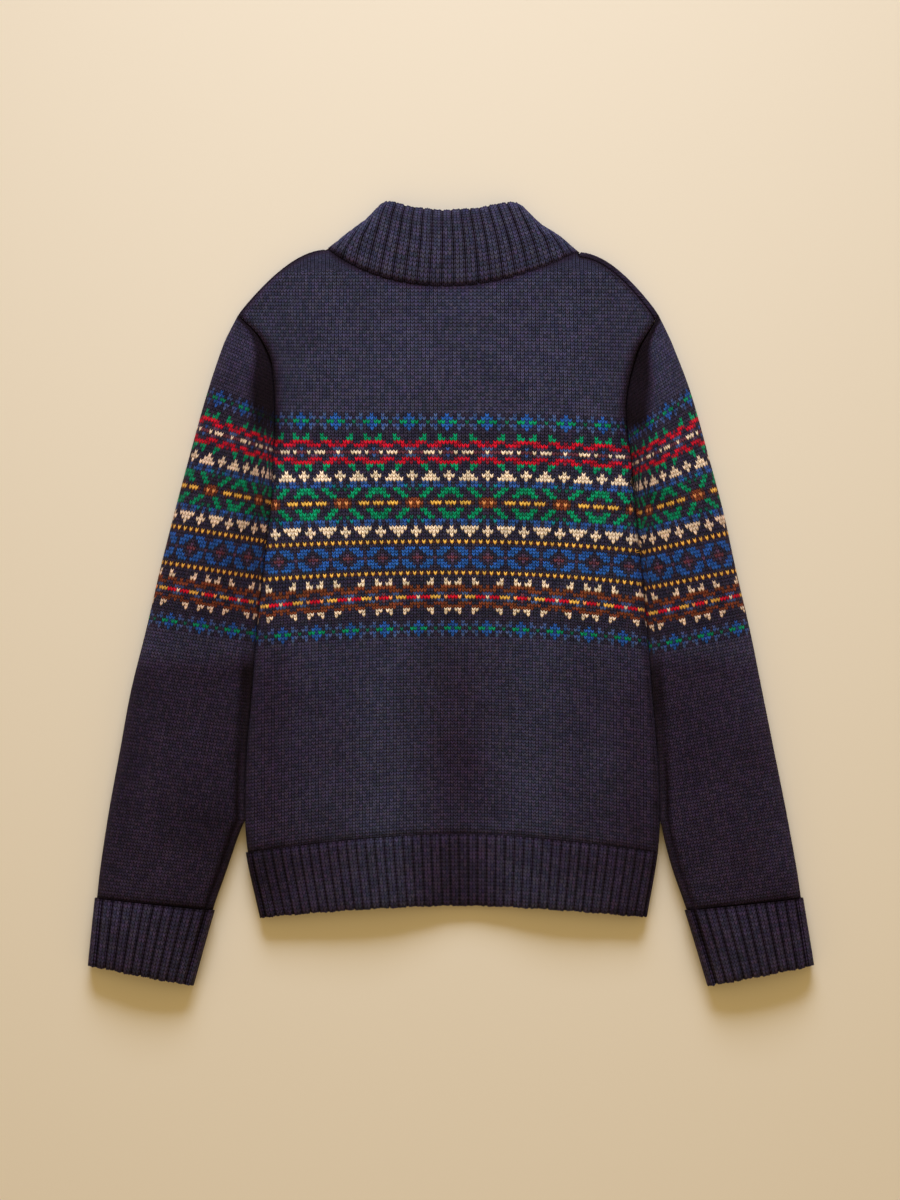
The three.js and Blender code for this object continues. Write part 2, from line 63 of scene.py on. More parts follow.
# Rolled edges, and where the seams lie on their round: 0 underneath, 90 at the outline, 180 on top
SIDE_ROLL = 8
SHOULDER_ROLL = 6
LEFT_SEAM_ANGLE = 80
RIGHT_SEAM_ANGLE = 140
LEFT_SHOULDER_SEAM_ANGLE = 120
RIGHT_SHOULDER_SEAM_ANGLE = 160
SEAM_GAP_ANGLE = 1.5
SHOULDER_GAP_ANGLE = 3
UNDERARM_TURN = 9
BACK_FOLD_SHARES = (0.036, 0.018)
FRONT_FOLD_SHARES = (0.03, 0.05)
EDGE_SHARE = 0.1

# Neck
NECK_LEFT = 0.203
NECK_RIGHT = 0.81
NECK_LEFT_Y = 257
NECK_RIGHT_Y = 255
NECK_BACK_DIP = 27
NECK_FRONT_DIP = 45
NECK_LEAN = 0.87
NECK_BLEND = 0.008

# Curves of the panels and sleeves
ROW_BEND_START = 0.35
ROW_BEND_POWER = 1.6
END_SHIFT_POWER = 8
SHOULDER_ROUNDNESS = 0.9
CROWN_ROUNDNESS = 0.8

# Ribs, and where the seam of a sleeve or cuff lies on its top, from -1 to 1
HEM_RIBS = 44
CUFF_RIBS = 12
SEAM_TURN = {"left": 0.84, "right": -0.84}
COLLAR_HALF_RIBS = 22
COLLAR_PITCH_BASE = 8
COLLAR_PITCH_TOP = 6.4
COLLAR_ROLL = 7
COLLAR_CORNER_DROP = 2.6
COLLAR_CORNER_REACH = 4.5

# The sleeve's side of the armhole seam
SLEEVE_BODY_CLEARANCE = 0.02
VALLEY_DEPTH = 3.3
VALLEY_WIDTHS = (4, 17)

# How the cloth tucks in at its edges and seams
TUCK_DEPTH = 1.2
TUCK_REACH = 2.2


def table(columns, *rows):
    """A table with named columns, each a numpy array."""
    return dict(zip(columns.split(), np.array(rows, float).T))


# Outline of the body between the shoulder points and the hem
BODY_SIDES = table(
    "y left right",
    (SHOULDER_POINT_Y, -159.5, 155.5),
    (195, -146, 147.5),
    (184, -139, 141),
    (172, -134.5, 137),
    (158, -132.8, 133.5),
    (140, -132, 131),
    (118, -132, 132.2),
    (98, -133, 135),
    (65, -135, 138),
    (35, -138.8, 141),
    (0, -142.5, 144.6),
    (-35, -146.3, 147.7),
    (-80, -149.8, 151.2),
    (-125, -153.6, 155.1),
    (-165, -154.6, 156.7),
    (HEM_SEAM_Y, -152.3, 155.2),
    (HEM_END_Y, -141.8, 147),
)

# Height of the back over the surface, at five places across the body
HEIGHT_PLACES = [0, 0.3, 0.53, 0.77, 1]
BODY_HEIGHTS = table(
    "y left_edge left_ridge middle right_ridge right_edge",
    (250, 11, 12.5, 13, 12.5, 11),
    (SHOULDER_POINT_Y, 9.5, 13, 14, 13, 9.5),
    (160, 8.4, 14.5, 15, 14.5, 8.4),
    (110, 8.6, 15.5, 15.5, 15.5, 8.6),
    (60, 12, 16, 15, 16, 12),
    (0, 13, 16.5, 13.5, 16, 13),
    (-60, 13, 16.5, 10.5, 15.5, 13),
    (-130, 13, 16, 7.6, 15, 13),
    (HEM_SEAM_Y, 12, 15, 7.2, 14, 12),
    (HEM_END_Y, 11, 13.5, 7.4, 12.5, 11),
)

# Outer fold of the sleeves, and the inner fold below the body's sides
SLEEVE_OUTER_EDGE = table(
    "y left right",
    (208, -159.7, 155.7),
    (196, -166, 161.6),
    (185, -171, 166.5),
    (151, -182.3, 179.3),
    (106, -195, 192),
    (61, -207, 204),
    (16, -218.3, 213.8),
    (-29, -228.8, 224.3),
    (-74, -240, 233.3),
    (-119, -248.3, 242.3),
    (-164, -256.5, 251.3),
    (-209, -263.3, 259.5),
    (-229, -265.5, 262.5),
    (-280, -270.8, 270.8),
)
SLEEVE_INNER_EDGE = table(
    "y left right",
    (-172, -155.1, 157.2),
    (-186, -160.5, 160),
    (-208, -168, 166),
    (-238, -178.5, 176.5),
    (-294, -194.3, 193.5),
)

# Sections of a sleeve and a cuff: where each meets the outer and inner fold, how much of the
# armhole's curve it keeps, the reach and height of its folded edges, and its crown above them
SLEEVE_SECTIONS = table(
    "outer_y inner_y bow roll edge crown",
    (208, 84, 1, 6, 8.6, 0.2),
    (201, 81, 0.93, 8, 9, 2.6),
    (191, 77, 0.84, 8, 10, 6),
    (176, 70, 0.7, 8, 11.5, 8.2),
    (154, 59, 0.5, 8, 12.5, 9),
    (122, 42, 0.28, 8, 13, 8.6),
    (84, 17, 0.1, 8, 13, 8),
    (40, -15, 0, 8, 13, 7.4),
    (-8, -52, 0, 8, 13, 7),
    (-58, -92, 0, 8, 13, 6.6),
    (-108, -133, 0, 8, 13, 6.2),
    (-154, -172, 0, 8, 12.8, 5.6),
    (-194, -207, 0, 8, 12.4, 4.6),
    (-229, -238, 0, 8, 12, 3),
)
CUFF_SECTIONS = table(
    "outer_y inner_y bow roll edge crown",
    (-229.4, -238.4, 0, 7, 12.4, 3),
    (-246, -257, 0, 7, 12.6, 3.4),
    (-263, -276, 0, 7, 12.4, 3.6),
    (-279.5, -294.5, 0, 7, 12, 3.6),
)

# Collar from the neck to its top edge: its folded sides, the dip of each layer, and its heights
COLLAR_SECTIONS = table(
    "left_x left_y right_x right_y back_dip front_dip edge crown",
    (-91.8, 257.4, 96, 253.9, 27, 45, 11, 2),
    (-77.5, 268, 81.5, 265.5, 20, 34, 11.6, 2.4),
    (-63.5, 278, 67, 274.5, 14, 24, 12, 2.6),
    (-54.5, 287, 56, 285, 10, 15, 12.2, 2.6),
    (-48, 294.5, 48.5, 293.5, 8.5, 11, 12, 2.4),
)

# Where the knitted rows lie. Row 0 is the top of the patterned band, and rows count downwards.
# Each row passes through x, y at its column 0, tilted by an angle. Stitches have a width to the
# left and to the right of it, and the row's ends sink below its middle by the two drops.
BODY_ROWS = table(
    "row x y tilt left_stitch right_stitch left_drop right_drop",
    (-42, -3, 241, 0, 2.9, 3, 0, 0),
    (2, -3, 127, 0, 2.84, 3, -1.9, 3.4),
    (18, -1.5, 87, 0, 2.75, 2.89, 1, 3.9),
    (26, -0.3, 66.8, 0, 2.71, 2.78, 1.8, 5.2),
    (37, 0.7, 37.7, 0, 2.63, 2.68, 3.5, 7),
    (47, 1.3, 14.4, 0, 2.59, 2.63, 5, 8.2),
    (54, 1.3, -3.5, 0, 2.58, 2.6, 7.2, 9.5),
    (64, 1.3, -27, 0, 2.55, 2.55, 6.6, 9),
    (127, 0.8, -181.5, 0, 2.55, 2.55, 12, 12),
)
LEFT_SLEEVE_ROWS = table(
    "row x y tilt left_stitch right_stitch left_drop right_drop",
    (-26, -124.5, 201.8, -27, 2.5, 2.5, 0, 0),
    (2, -141.8, 132.5, -20.6, 2.5, 2.5, 0, 0),
    (11, -147.4, 110.4, -16.4, 2.5, 2.5, 0, 0),
    (26, -158.9, 71.8, -11.1, 2.5, 2.5, 0, 0),
    (42, -172, 29.3, -9.1, 2.45, 2.45, 0, 0),
    (54, -180.4, -2.3, -9.3, 2.45, 2.45, 0, 0),
    (64, -186.6, -25.1, -8.6, 2.5, 2.5, 0, 0),
    (147, -226.9, -233.3, -6, 2.45, 2.45, 0, 0),
)
RIGHT_SLEEVE_ROWS = table(
    "row x y tilt left_stitch right_stitch left_drop right_drop",
    (-26, 131.3, 194, 40, 2.5, 2.5, 0, 0),
    (2, 148, 126, 33, 2.5, 2.5, 0, 0),
    (11, 153.3, 104, 26, 2.5, 2.5, 0, 0),
    (26, 163.4, 66, 17, 2.62, 2.62, 0, 0),
    (42, 176.9, 22.8, 11.5, 2.62, 2.62, 0, 0),
    (54, 185.6, -8.6, 11.5, 2.6, 2.6, 0, 0),
    (64, 189.8, -32.2, 11.7, 2.62, 2.62, 0, 0),
    (145, 223.5, -234, 8, 2.5, 2.5, 0, 0),
)

# A row sinks by its drop at this distance from its column 0, and nowhere by more than the largest.
DROP_REACH = 139
LARGEST_DROP = 20
ROW_HEIGHT = 2.6
ROW_SEARCH_STEPS = 6

# Points at most this far below the highest of their row of the mesh count as its top.
NEAR_TOP = 9

# A UV map holds the stitch and row of each point, scaled to fit its unit square.
STITCH_SPAN = 256
FIRST_STITCH = -128
LAST_ROW = 200

# The first row of each rib at its seam, and how many rows it has
HEM_FIRST_ROW, HEM_ROWS = 127, 19
CUFF_FIRST_ROW, CUFF_ROWS = 147, 18
COLLAR_FIRST_ROW, COLLAR_ROWS = -42, 20

# The sharpest edge that is shaded smooth, and the steps of the meshes
SMOOTH_ANGLE = 60
FOLD_STEPS = 8
STEPS_PER_RIB = 8
RIB_ROW_STEPS = 20
COLLAR_ROW_STEPS = 24
SLEEVE_STEPS = 130
SLEEVE_ROW_STEPS = 149


# Curves through tables


def read_curve(places, values, at):
    """Smooth curve through the values at the places, read at other places.

    The values may hold one column for each place that is read."""
    order = np.argsort(places)
    x = np.asarray(places, float)[order]
    y = np.asarray(values, float)[order]
    spread = (slice(None),) + (None,) * (y.ndim - 1)
    x_ends = np.concatenate([x[:1], x, x[-1:]])
    y_ends = np.concatenate([y[:1], y, y[-1:]])
    slope = (y_ends[2:] - y_ends[:-2]) / (x_ends[2:] - x_ends[:-2])[spread]
    at = np.clip(at, x[0], x[-1])
    i = np.clip(np.searchsorted(x, at, side="right") - 1, 0, len(x) - 2)
    width = x[i + 1] - x[i]
    t = (at - x[i]) / width

    def pick(column, j):
        return column[j] if column.ndim == 1 else np.take_along_axis(column, j[None], 0)[0]

    bend = t * t * (3 - 2 * t)
    start, end = pick(y, i), pick(y, i + 1)
    start_tangent = pick(slope, i) * width
    end_tangent = pick(slope, i + 1) * width
    return start + (end - start) * bend + start_tangent * t * (1 - t) ** 2 - end_tangent * t * t * (1 - t)


def lerp(a, b, t):
    return a + (b - a) * t


def smooth(value, low, high):
    t = np.clip((value - low) / (high - low), 0, 1)
    return t * t * (3 - 2 * t)


def on_top(points):
    """1 on the upper side of a piece and 0 underneath, turning within its folded edges."""
    return smooth(points[..., 2], 3, 8)


def underneath(points):
    """1 on the side of a piece that lies on the surface."""
    return smooth(points[..., 2], 4, 0.5)


def nearness(distance, reach):
    """1 at no distance, sinking evenly to 0 well past the reach."""
    return np.exp(-((distance / reach) ** 2))


def rising_sine(angle):
    return np.sin(np.radians(angle))


def falling_cosine(angle):
    return (1 - np.cos(np.radians(angle))) / 2


# Surfaces of the body


def neck_curve(share):
    lean = np.clip(share, 0, 1) ** NECK_LEAN
    return 4 * lean * (1 - lean)


def shoulder_line(run):
    return np.sin(np.clip(run, 0, 1) * math.pi / 2) ** SHOULDER_ROUNDNESS


def top_line(share, is_back):
    middle = np.clip((share - NECK_LEFT) / (NECK_RIGHT - NECK_LEFT), 0, 1)
    level = lerp(NECK_LEFT_Y, NECK_RIGHT_Y, middle)
    rise = level - SHOULDER_POINT_Y
    dip = NECK_BACK_DIP if is_back else NECK_FRONT_DIP
    neck = level - dip * neck_curve(middle)
    left = SHOULDER_POINT_Y + rise * shoulder_line(share / NECK_LEFT)
    right = SHOULDER_POINT_Y + rise * shoulder_line((1 - share) / (1 - NECK_RIGHT))
    return np.where(share < NECK_LEFT, left, np.where(share > NECK_RIGHT, right, neck))


def hem_line(share, depth):
    level = lerp(HEM_SEAM_Y, HEM_END_Y, depth)
    rise = lerp(HEM_SEAM_RISE, HEM_END_RISE, depth)
    return level + rise * np.sin(math.pi * share)


def body_height(share, y):
    names = ("left_edge", "left_ridge", "middle", "right_ridge", "right_edge")
    heights = np.stack([read_curve(BODY_HEIGHTS["y"], BODY_HEIGHTS[name], y) for name in names])
    return read_curve(HEIGHT_PLACES, heights, share)


def side_x(y, side):
    return read_curve(BODY_SIDES["y"], BODY_SIDES[side], y)


def across_panel(run, is_back, width, rolled):
    """Share of the width, and angle round the side fold, of a place across a panel."""
    inset = SIDE_ROLL / width
    flat_angle = 180 if is_back else 0
    left_part, right_part = BACK_FOLD_SHARES if is_back else FRONT_FOLD_SHARES
    gap = SEAM_GAP_ANGLE if is_back else -SEAM_GAP_ANGLE

    def turned(progress, seam_angle):
        progress = np.clip(progress, 0, 1)
        angle = lerp(flat_angle, seam_angle + gap, progress)
        return angle, lerp(inset * (1 - progress), inset * (1 - rising_sine(angle)), rolled)

    left_angle, left_share = turned(1 - run / left_part, LEFT_SEAM_ANGLE)
    right_angle, right_share = turned(1 - (1 - run) / right_part, RIGHT_SEAM_ANGLE)
    flat_share = lerp(inset, 1 - inset, (run - left_part) / (1 - left_part - right_part))
    is_left = run < left_part
    is_right = run > 1 - right_part
    angle = np.where(is_left, left_angle, np.where(is_right, right_angle, flat_angle))
    share = np.where(is_left, left_share, np.where(is_right, 1 - right_share, flat_share))
    return share, angle


def panel_height(share, angle, is_back, width, y, rolled):
    inset = SIDE_ROLL / width
    top = body_height(np.clip((share - inset) / (1 - 2 * inset), 0, 1), y)
    flat = top if is_back else 0 * top
    return lerp(flat, top * falling_cosine(angle), rolled)


def panel_point(run, way, is_back):
    """run is 0 to 1 from the left to the right seam. way is 0 at the hem seam, 1 where the panel
    starts to fold over the shoulders, and 2 at the shoulder seam and the neck."""
    climb = np.minimum(way, 1)
    fold = np.maximum(way - 1, 0)
    bend = np.clip((climb - ROW_BEND_START) / (1 - ROW_BEND_START), 0, 1) ** ROW_BEND_POWER
    seam_angle = np.where(run < 0.5, LEFT_SHOULDER_SEAM_ANGLE, RIGHT_SHOULDER_SEAM_ANGLE)
    gap = SHOULDER_GAP_ANGLE if is_back else -SHOULDER_GAP_ANGLE

    def angle_at(fold_now):
        return lerp(180 if is_back else 0, seam_angle + gap, fold_now)

    def shoulderness(share):
        before_neck = 1 - smooth(share, NECK_LEFT - NECK_BLEND, NECK_LEFT)
        return before_neck + smooth(share, NECK_RIGHT, NECK_RIGHT + NECK_BLEND)

    def row_y(share, fold_now):
        level = lerp(hem_line(share, 0), SHOULDER_POINT_Y - SHOULDER_ROLL, climb)
        over = lerp(fold_now, rising_sine(angle_at(fold_now)), shoulderness(share))
        return level + bend * (top_line(share, is_back) - SHOULDER_POINT_Y) + SHOULDER_ROLL * over

    zero = np.zeros_like(run)
    one = np.ones_like(run)
    left_x = side_x(row_y(zero, zero), "left")
    right_x = side_x(row_y(one, zero), "right")
    left_shift = side_x(row_y(zero, fold), "left") - left_x
    right_shift = side_x(row_y(one, fold), "right") - right_x
    width = right_x - left_x
    rolled = 1 - smooth(row_y(zero, fold), UNDERARM_Y - UNDERARM_TURN, UNDERARM_Y + UNDERARM_TURN)
    share, angle = across_panel(run, is_back, width, rolled)
    y = row_y(share, fold)
    height = panel_height(share, angle, is_back, width, y, rolled)
    over_shoulder = body_height(share, y) * falling_cosine(angle_at(fold))
    z = np.where(fold > 0, lerp(height, over_shoulder, shoulderness(share)), height)
    end_shift = left_shift * (1 - share) ** END_SHIFT_POWER + right_shift * share**END_SHIFT_POWER
    return np.stack([left_x + width * share + end_shift, y, z], -1)


def hem_point(run, way, is_back):
    """way is 0 at the free end of the hem rib and 1 at the hem seam."""
    depth = 1 - way
    end_y = hem_line(np.zeros_like(run), depth)
    left_x = side_x(end_y, "left")
    width = side_x(end_y, "right") - left_x
    share, angle = across_panel(run, is_back, width, 1)
    y = hem_line(share, depth) - SEAM_GAP * way
    return np.stack([left_x + width * share, y, panel_height(share, angle, is_back, width, y, 1)], -1)


# Surfaces of flattened tubes


def tube_point(turn, plan_at, width, roll, edge, crown):
    """turn is -1 to 1 over the top from left to right, and 1 to 3 back underneath."""
    turn = (turn + 1) % 4 - 1
    over_top = turn <= 1
    run = np.where(over_top, (turn + 1) / 2, (3 - turn) / 2)
    inset = roll / width
    quarter = np.where(over_top, -90, 90)
    angle = np.where(over_top, 180, 0) + quarter * (
        np.clip(1 - run / EDGE_SHARE, 0, 1) + np.clip(1 - (1 - run) / EDGE_SHARE, 0, 1)
    )
    share = inset + (1 - 2 * inset) * (run - EDGE_SHARE) / (1 - 2 * EDGE_SHARE)
    share = np.where(run < EDGE_SHARE, inset * (1 - rising_sine(angle)), share)
    share = np.where(run > 1 - EDGE_SHARE, 1 - inset * (1 - rising_sine(angle)), share)
    x, y = plan_at(share, over_top)
    lift = crown * np.sin(math.pi * np.clip(share, 0, 1)) ** CROWN_ROUNDNESS
    return np.stack([x, y, edge * falling_cosine(angle) + np.where(over_top, lift, 0)], -1)


def sleeve_edge_x(side, y, is_outer):
    if is_outer:
        return read_curve(SLEEVE_OUTER_EDGE["y"], SLEEVE_OUTER_EDGE[side], y)
    outward = -1 if side == "left" else 1
    beside_body = side_x(y, side) + outward * SLEEVE_BODY_CLEARANCE
    below = read_curve(SLEEVE_INNER_EDGE["y"], SLEEVE_INNER_EDGE[side], y)
    return np.where(y < SLEEVE_INNER_EDGE["y"][0], below, beside_body)


def armhole_point(side, share):
    y = lerp(SHOULDER_POINT_Y, UNDERARM_Y, share)
    outward = -1 if side == "left" else 1
    return np.stack([side_x(y, side) + outward * SEAM_GAP, y])


def sleeve_point(side, sections, turn, way):
    """way counts sections up from the cuff."""
    last = len(sections["roll"]) - 1
    place = last - np.clip(way, 0, last)
    at = {name: read_curve(np.arange(last + 1), values, place) for name, values in sections.items()}
    outer_end = np.stack([sleeve_edge_x(side, at["outer_y"], True), at["outer_y"]])
    inner_end = np.stack([sleeve_edge_x(side, at["inner_y"], False), at["inner_y"]])
    shoulder = armhole_point(side, np.zeros_like(turn))
    underarm = armhole_point(side, np.ones_like(turn))

    def plan_at(share, over_top):
        from_outer = share if side == "left" else 1 - share
        seam = armhole_point(side, from_outer)
        chord = lerp(shoulder, underarm, from_outer)
        return lerp(outer_end, inner_end, from_outer) + at["bow"] * (seam - chord)

    width = np.hypot(*(outer_end - inner_end))
    points = tube_point(turn, plan_at, width, at["roll"], at["edge"], at["crown"])
    from_outer = (1 + turn if side == "left" else 1 - turn) / 2
    within = smooth(from_outer, 0.04, 0.3) * (np.abs(turn) < 1)
    points[..., 2] -= VALLEY_DEPTH * armhole_valley(points, side) * on_top(points) * within
    return points


def beside_body(points, side):
    """Distance in plan of a sleeve's points from the body's side."""
    outward = -1 if side == "left" else 1
    return outward * (points[..., 0] - side_x(points[..., 1], side))


def armhole_valley(points, side):
    """How far a point lies in the valley on the sleeve's side of the armhole seam. It widens
    downwards from the shoulder."""
    width = lerp(*VALLEY_WIDTHS, smooth(points[..., 1], 204, 150))
    return (1 - smooth(beside_body(points, side) / width, 0.1, 1)) * smooth(points[..., 1], 70, 100)


def collar_point(place, way):
    """place counts ribs from the middle of the back."""
    last = len(COLLAR_SECTIONS["edge"]) - 1
    at = {
        name: read_curve(np.arange(last + 1), values, np.clip(way, 0, last))
        for name, values in COLLAR_SECTIONS.items()
    }
    width = at["right_x"] - at["left_x"]
    pitch = lerp(COLLAR_PITCH_BASE, COLLAR_PITCH_TOP, way / last)
    back_ribs = width / 2 / pitch
    beyond = np.abs(place) - back_ribs
    turned = 1 + beyond / (COLLAR_HALF_RIBS - back_ribs)
    turn = np.where(beyond <= 0, place / back_ribs, np.where(place < 0, 4 - turned, turned))

    def plan_at(share, over_top):
        dip = np.where(over_top, at["back_dip"], at["front_dip"])
        level = lerp(at["left_y"], at["right_y"], share)
        return lerp(at["left_x"], at["right_x"], share), level - dip * neck_curve(share)

    return tube_point(turn, plan_at, width, COLLAR_ROLL, at["edge"], at["crown"])


# Knitted rows and stitches


def row_of(rows, x, y):
    """The knitted row of a place in plan, found in a few steps, and the row's line there."""
    row = read_curve(rows["y"], rows["row"], y)
    for _ in range(ROW_SEARCH_STEPS):
        line = {name: read_curve(rows["row"], values, row) for name, values in rows.items() if name != "row"}
        along_x, along_y = np.cos(np.radians(line["tilt"])), np.sin(np.radians(line["tilt"]))
        across = (x - line["x"]) * along_x + (y - line["y"]) * along_y
        drop = np.where(across < 0, line["left_drop"], line["right_drop"]) * (across / DROP_REACH) ** 2
        below = (x - line["x"]) * along_y - (y - line["y"]) * along_x - np.minimum(drop, LARGEST_DROP)
        row = row + below / ROW_HEIGHT
    return row, across, line


def stitch_map(points, rows):
    """Stitch and row of each point. Stitches are counted along the cloth itself, so that they keep
    their width round a fold, from the place in the middle of the top where plan and cloth agree."""
    row, across, line = row_of(rows, points[..., 0], points[..., 1])
    width = np.where(across < 0, line["left_stitch"], line["right_stitch"])
    length = np.linalg.norm(np.diff(points, axis=1), axis=2)
    steps = length / (width[:, 1:] + width[:, :-1]) * 2
    along = np.concatenate([np.zeros((len(points), 1)), np.cumsum(steps, 1)], 1)
    is_near_top = points[..., 2] > points[..., 2].max(1, keepdims=True) - NEAR_TOP
    start = np.argmin(np.where(is_near_top, np.abs(across), FAR), 1)[:, None]
    in_plan = np.take_along_axis(across / width, start, 1)
    return np.stack([along - np.take_along_axis(along, start, 1) + in_plan, row], -1)


# Soft creases, and the shade painted into the cloth

# Creases listed for each part: middle, direction, length, width, and height or depth
BODY_CREASES = table(
    "x y angle length width rise",
    (-6, -112, 93, 66, 13, -1.3),
    (-52, -92, 88, 60, 17, 0.9),
    (66, -84, 96, 52, 15, 0.7),
    (104, -70, 80, 44, 12, -0.7),
    (-98, -118, 97, 40, 11, -0.6),
    (-38, 208, 8, 30, 3.6, -0.45),
    (-2, 204, -3, 26, 3, 0.35),
    (47, 210, -9, 24, 3.4, -0.4),
    (12, 196, 2, 34, 4.2, -0.3),
    (-108, 176, 52, 26, 6, -0.6),
    (104, 178, -57, 30, 7, -0.7),
    (112, 92, -38, 24, 6, -0.8),
    (-112, 84, 33, 20, 6, -0.6),
    (-20, 30, 86, 46, 22, 0.4),
    (38, -160, 94, 24, 9, -0.5),
    (-74, -164, 85, 20, 8, -0.5),
)
LEFT_SLEEVE_CREASES = table(
    "x y angle length width rise",
    (-168, 118, 74, 30, 7, -0.9),
    (-186, 40, 78, 46, 9, -0.7),
    (-162, 66, 40, 20, 5, -0.7),
    (-205, -60, 76, 48, 10, 0.6),
    (-196, -104, 70, 34, 7, -0.8),
    (-232, -128, 80, 38, 8, -0.6),
    (-214, -196, 62, 18, 6, -0.7),
    (-236, -204, 108, 16, 6, -0.5),
)
RIGHT_SLEEVE_CREASES = table(
    "x y angle length width rise",
    (165, 122, -72, 28, 7, -0.9),
    (158, 62, -34, 22, 5, -0.9),
    (188, 26, -76, 40, 9, -0.6),
    (196, -70, -78, 44, 8, -0.8),
    (224, -96, -80, 42, 10, 0.6),
    (206, -150, -68, 28, 7, -0.7),
    (236, -190, -84, 22, 7, -0.6),
    (212, -206, -55, 16, 5, -0.6),
)
SLEEVE_CREASES = {"left": LEFT_SLEEVE_CREASES, "right": RIGHT_SLEEVE_CREASES}
CREASE_BOW = 0.14

# Painted shade, from 0 where the cloth is painted as open to the light up to 1 where it is painted
# darkest. A stripe runs down the body, with its middle, its reach and its strength: the lit stripes
# paint light onto the lower body, and the side stripes paint shade.
PAINTED_LIGHT_STRIPES = ((-53, 24, 1), (61, 30, 0.75))
PAINTED_SHADE_SIDE_STRIPES = ((-137, 22, 0.24), (141, 20, 0.18))
LOWER_BODY_PAINTED_SHADE = 0.3
PAINTED_LIGHT_TONE = -0.28
MIDDLE_PAINTED_SHADE = 0.16
MIDDLE_REACH = 23
BODY_EDGE_PAINTED_SHADE = 0.12
BODY_VALLEY_PAINTED_SHADE = 0.6
# Painted shade of the sleeves: on their lower part and caps, in a strip beside the body, and deepest in the
# valleys below the shoulders; the patterned band takes less of it. Then the reaches of the strip beside the
# body.
LOWER_SLEEVE_PAINTED_SHADE = {"left": 0.6, "right": 0.48}
SLEEVE_CAP_PAINTED_SHADE = {"left": 0.36, "right": 0.16}
UNDERARM_PAINTED_SHADE = 0.42
SLEEVE_VALLEY_PAINTED_SHADE = {"left": 0.8, "right": 1}
BAND_PAINTED_SHADE_CUT = 0.6
LOWER_BAND_PAINTED_SHADE_CUT = 0.9
UNDERARM_REACH = 11
SLEEVE_CAP_REACH = 21
SHOULDER_POINT_REACH = 5
# Painted shade along the seams, along the hem's seam, and over the fold at the shoulders
SEAM_PAINTED_SHADE = 0.42
HEM_SEAM_PAINTED_SHADE = 0.4 * SEAM_PAINTED_SHADE
SHOULDER_PAINTED_SHADE = 0.4
# Painted shade in the ribs' grooves, and on the hem, cuffs and collar, and at the collar's foot
GROOVE_PAINTED_SHADE = 0.44
HEM_PAINTED_SHADE = 0.12
CUFF_PAINTED_SHADE = 0.42
COLLAR_PAINTED_SHADE = 0.1
COLLAR_FOOT_PAINTED_SHADE = 0.08
# Painted shade along the collar's seam, and its reach
COLLAR_SEAM_PAINTED_SHADE = 0.75
COLLAR_SEAM_REACH = 2.6


def unevenness(x, y):
    """Slight waves all over the cloth."""
    broad = 0.28 * np.sin(x / 17 + 1.3) * np.sin(y / 23 + 0.4)
    return broad + 0.16 * np.sin(x / 7.1 + y / 11.3) * np.sin(y / 6.3)


def creased(points, creases):
    """Rise or fall of the cloth on top, from its creases and a slight unevenness."""
    x, y = points[..., 0], points[..., 1]
    height = unevenness(x, y)
    for middle_x, middle_y, angle, length, width, rise in zip(*creases.values()):
        along_x, along_y = math.cos(math.radians(angle)), math.sin(math.radians(angle))
        along = ((x - middle_x) * along_x + (y - middle_y) * along_y) / length
        bow = CREASE_BOW * length * along**2
        across = ((y - middle_y) * along_x - (x - middle_x) * along_y + bow) / width
        height = height + rise * np.exp(-(across**2)) * np.clip(1 - along**2, 0, 1) ** 2
    return height


def stripes(x, rows):
    return sum(strength * nearness(x - middle, reach) for middle, reach, strength in rows)


# Painted shade of the body: darker on its lower part, in a leaning stripe down the middle and at the sides,
# lighter on two painted lit stripes, and darker still beside the sleeves and over the armhole valleys.
def body_painted_shade(points):
    x, y = points[..., 0], points[..., 1]
    low = smooth(y, 10, -90)
    from_leaning_middle = x - 1 + 0.06 * (y + 120)
    shaded = nearness(from_leaning_middle, MIDDLE_REACH) * smooth(y, -22, -60)
    from_side = np.minimum(x - side_x(y, "left"), side_x(y, "right") - x)
    beside_sleeve = BODY_EDGE_PAINTED_SHADE * (1 - smooth(from_side, 0, 9))
    beside_armhole = smooth(y, 100, 125) * smooth(y, 212, 175)
    over_valley = BODY_VALLEY_PAINTED_SHADE * (1 - smooth(from_side, 0, 10)) * beside_armhole
    open_or_shaded = LOWER_BODY_PAINTED_SHADE + PAINTED_LIGHT_TONE * stripes(x, PAINTED_LIGHT_STRIPES) + MIDDLE_PAINTED_SHADE * shaded
    return np.clip(low * (open_or_shaded + stripes(x, PAINTED_SHADE_SIDE_STRIPES)) + beside_sleeve + over_valley, 0, 1)


# Painted shade of a sleeve: darker on its lower part and a little on its cap, darker still in a strip beside
# the body, deepest in the valley below the shoulder, and lighter across the band.
def sleeve_painted_shade(points, side):
    y = points[..., 1]
    cap = smooth(y, 60, 130)
    reach = lerp(lerp(UNDERARM_REACH, SLEEVE_CAP_REACH, cap), SHOULDER_POINT_REACH, smooth(y, 150, 204))
    below_band = smooth(y, -62, -40)
    in_band = below_band * smooth(y, 152, 122)
    in_lower_band = below_band * smooth(y, 130, 112)
    beside = (1 - smooth(beside_body(points, side) / reach, 0.5, 1.1)) * smooth(y, -175, -60)
    base = lerp(LOWER_SLEEVE_PAINTED_SHADE[side], SLEEVE_CAP_PAINTED_SHADE[side], cap)
    depth = lerp(UNDERARM_PAINTED_SHADE, SLEEVE_VALLEY_PAINTED_SHADE[side], cap)
    beside = beside * (1 - LOWER_BAND_PAINTED_SHADE_CUT * in_lower_band)
    return base * (1 - BAND_PAINTED_SHADE_CUT * in_band) + depth * beside


# Meshes


def deselect():
    bpy.ops.object.select_all(action="DESELECT")


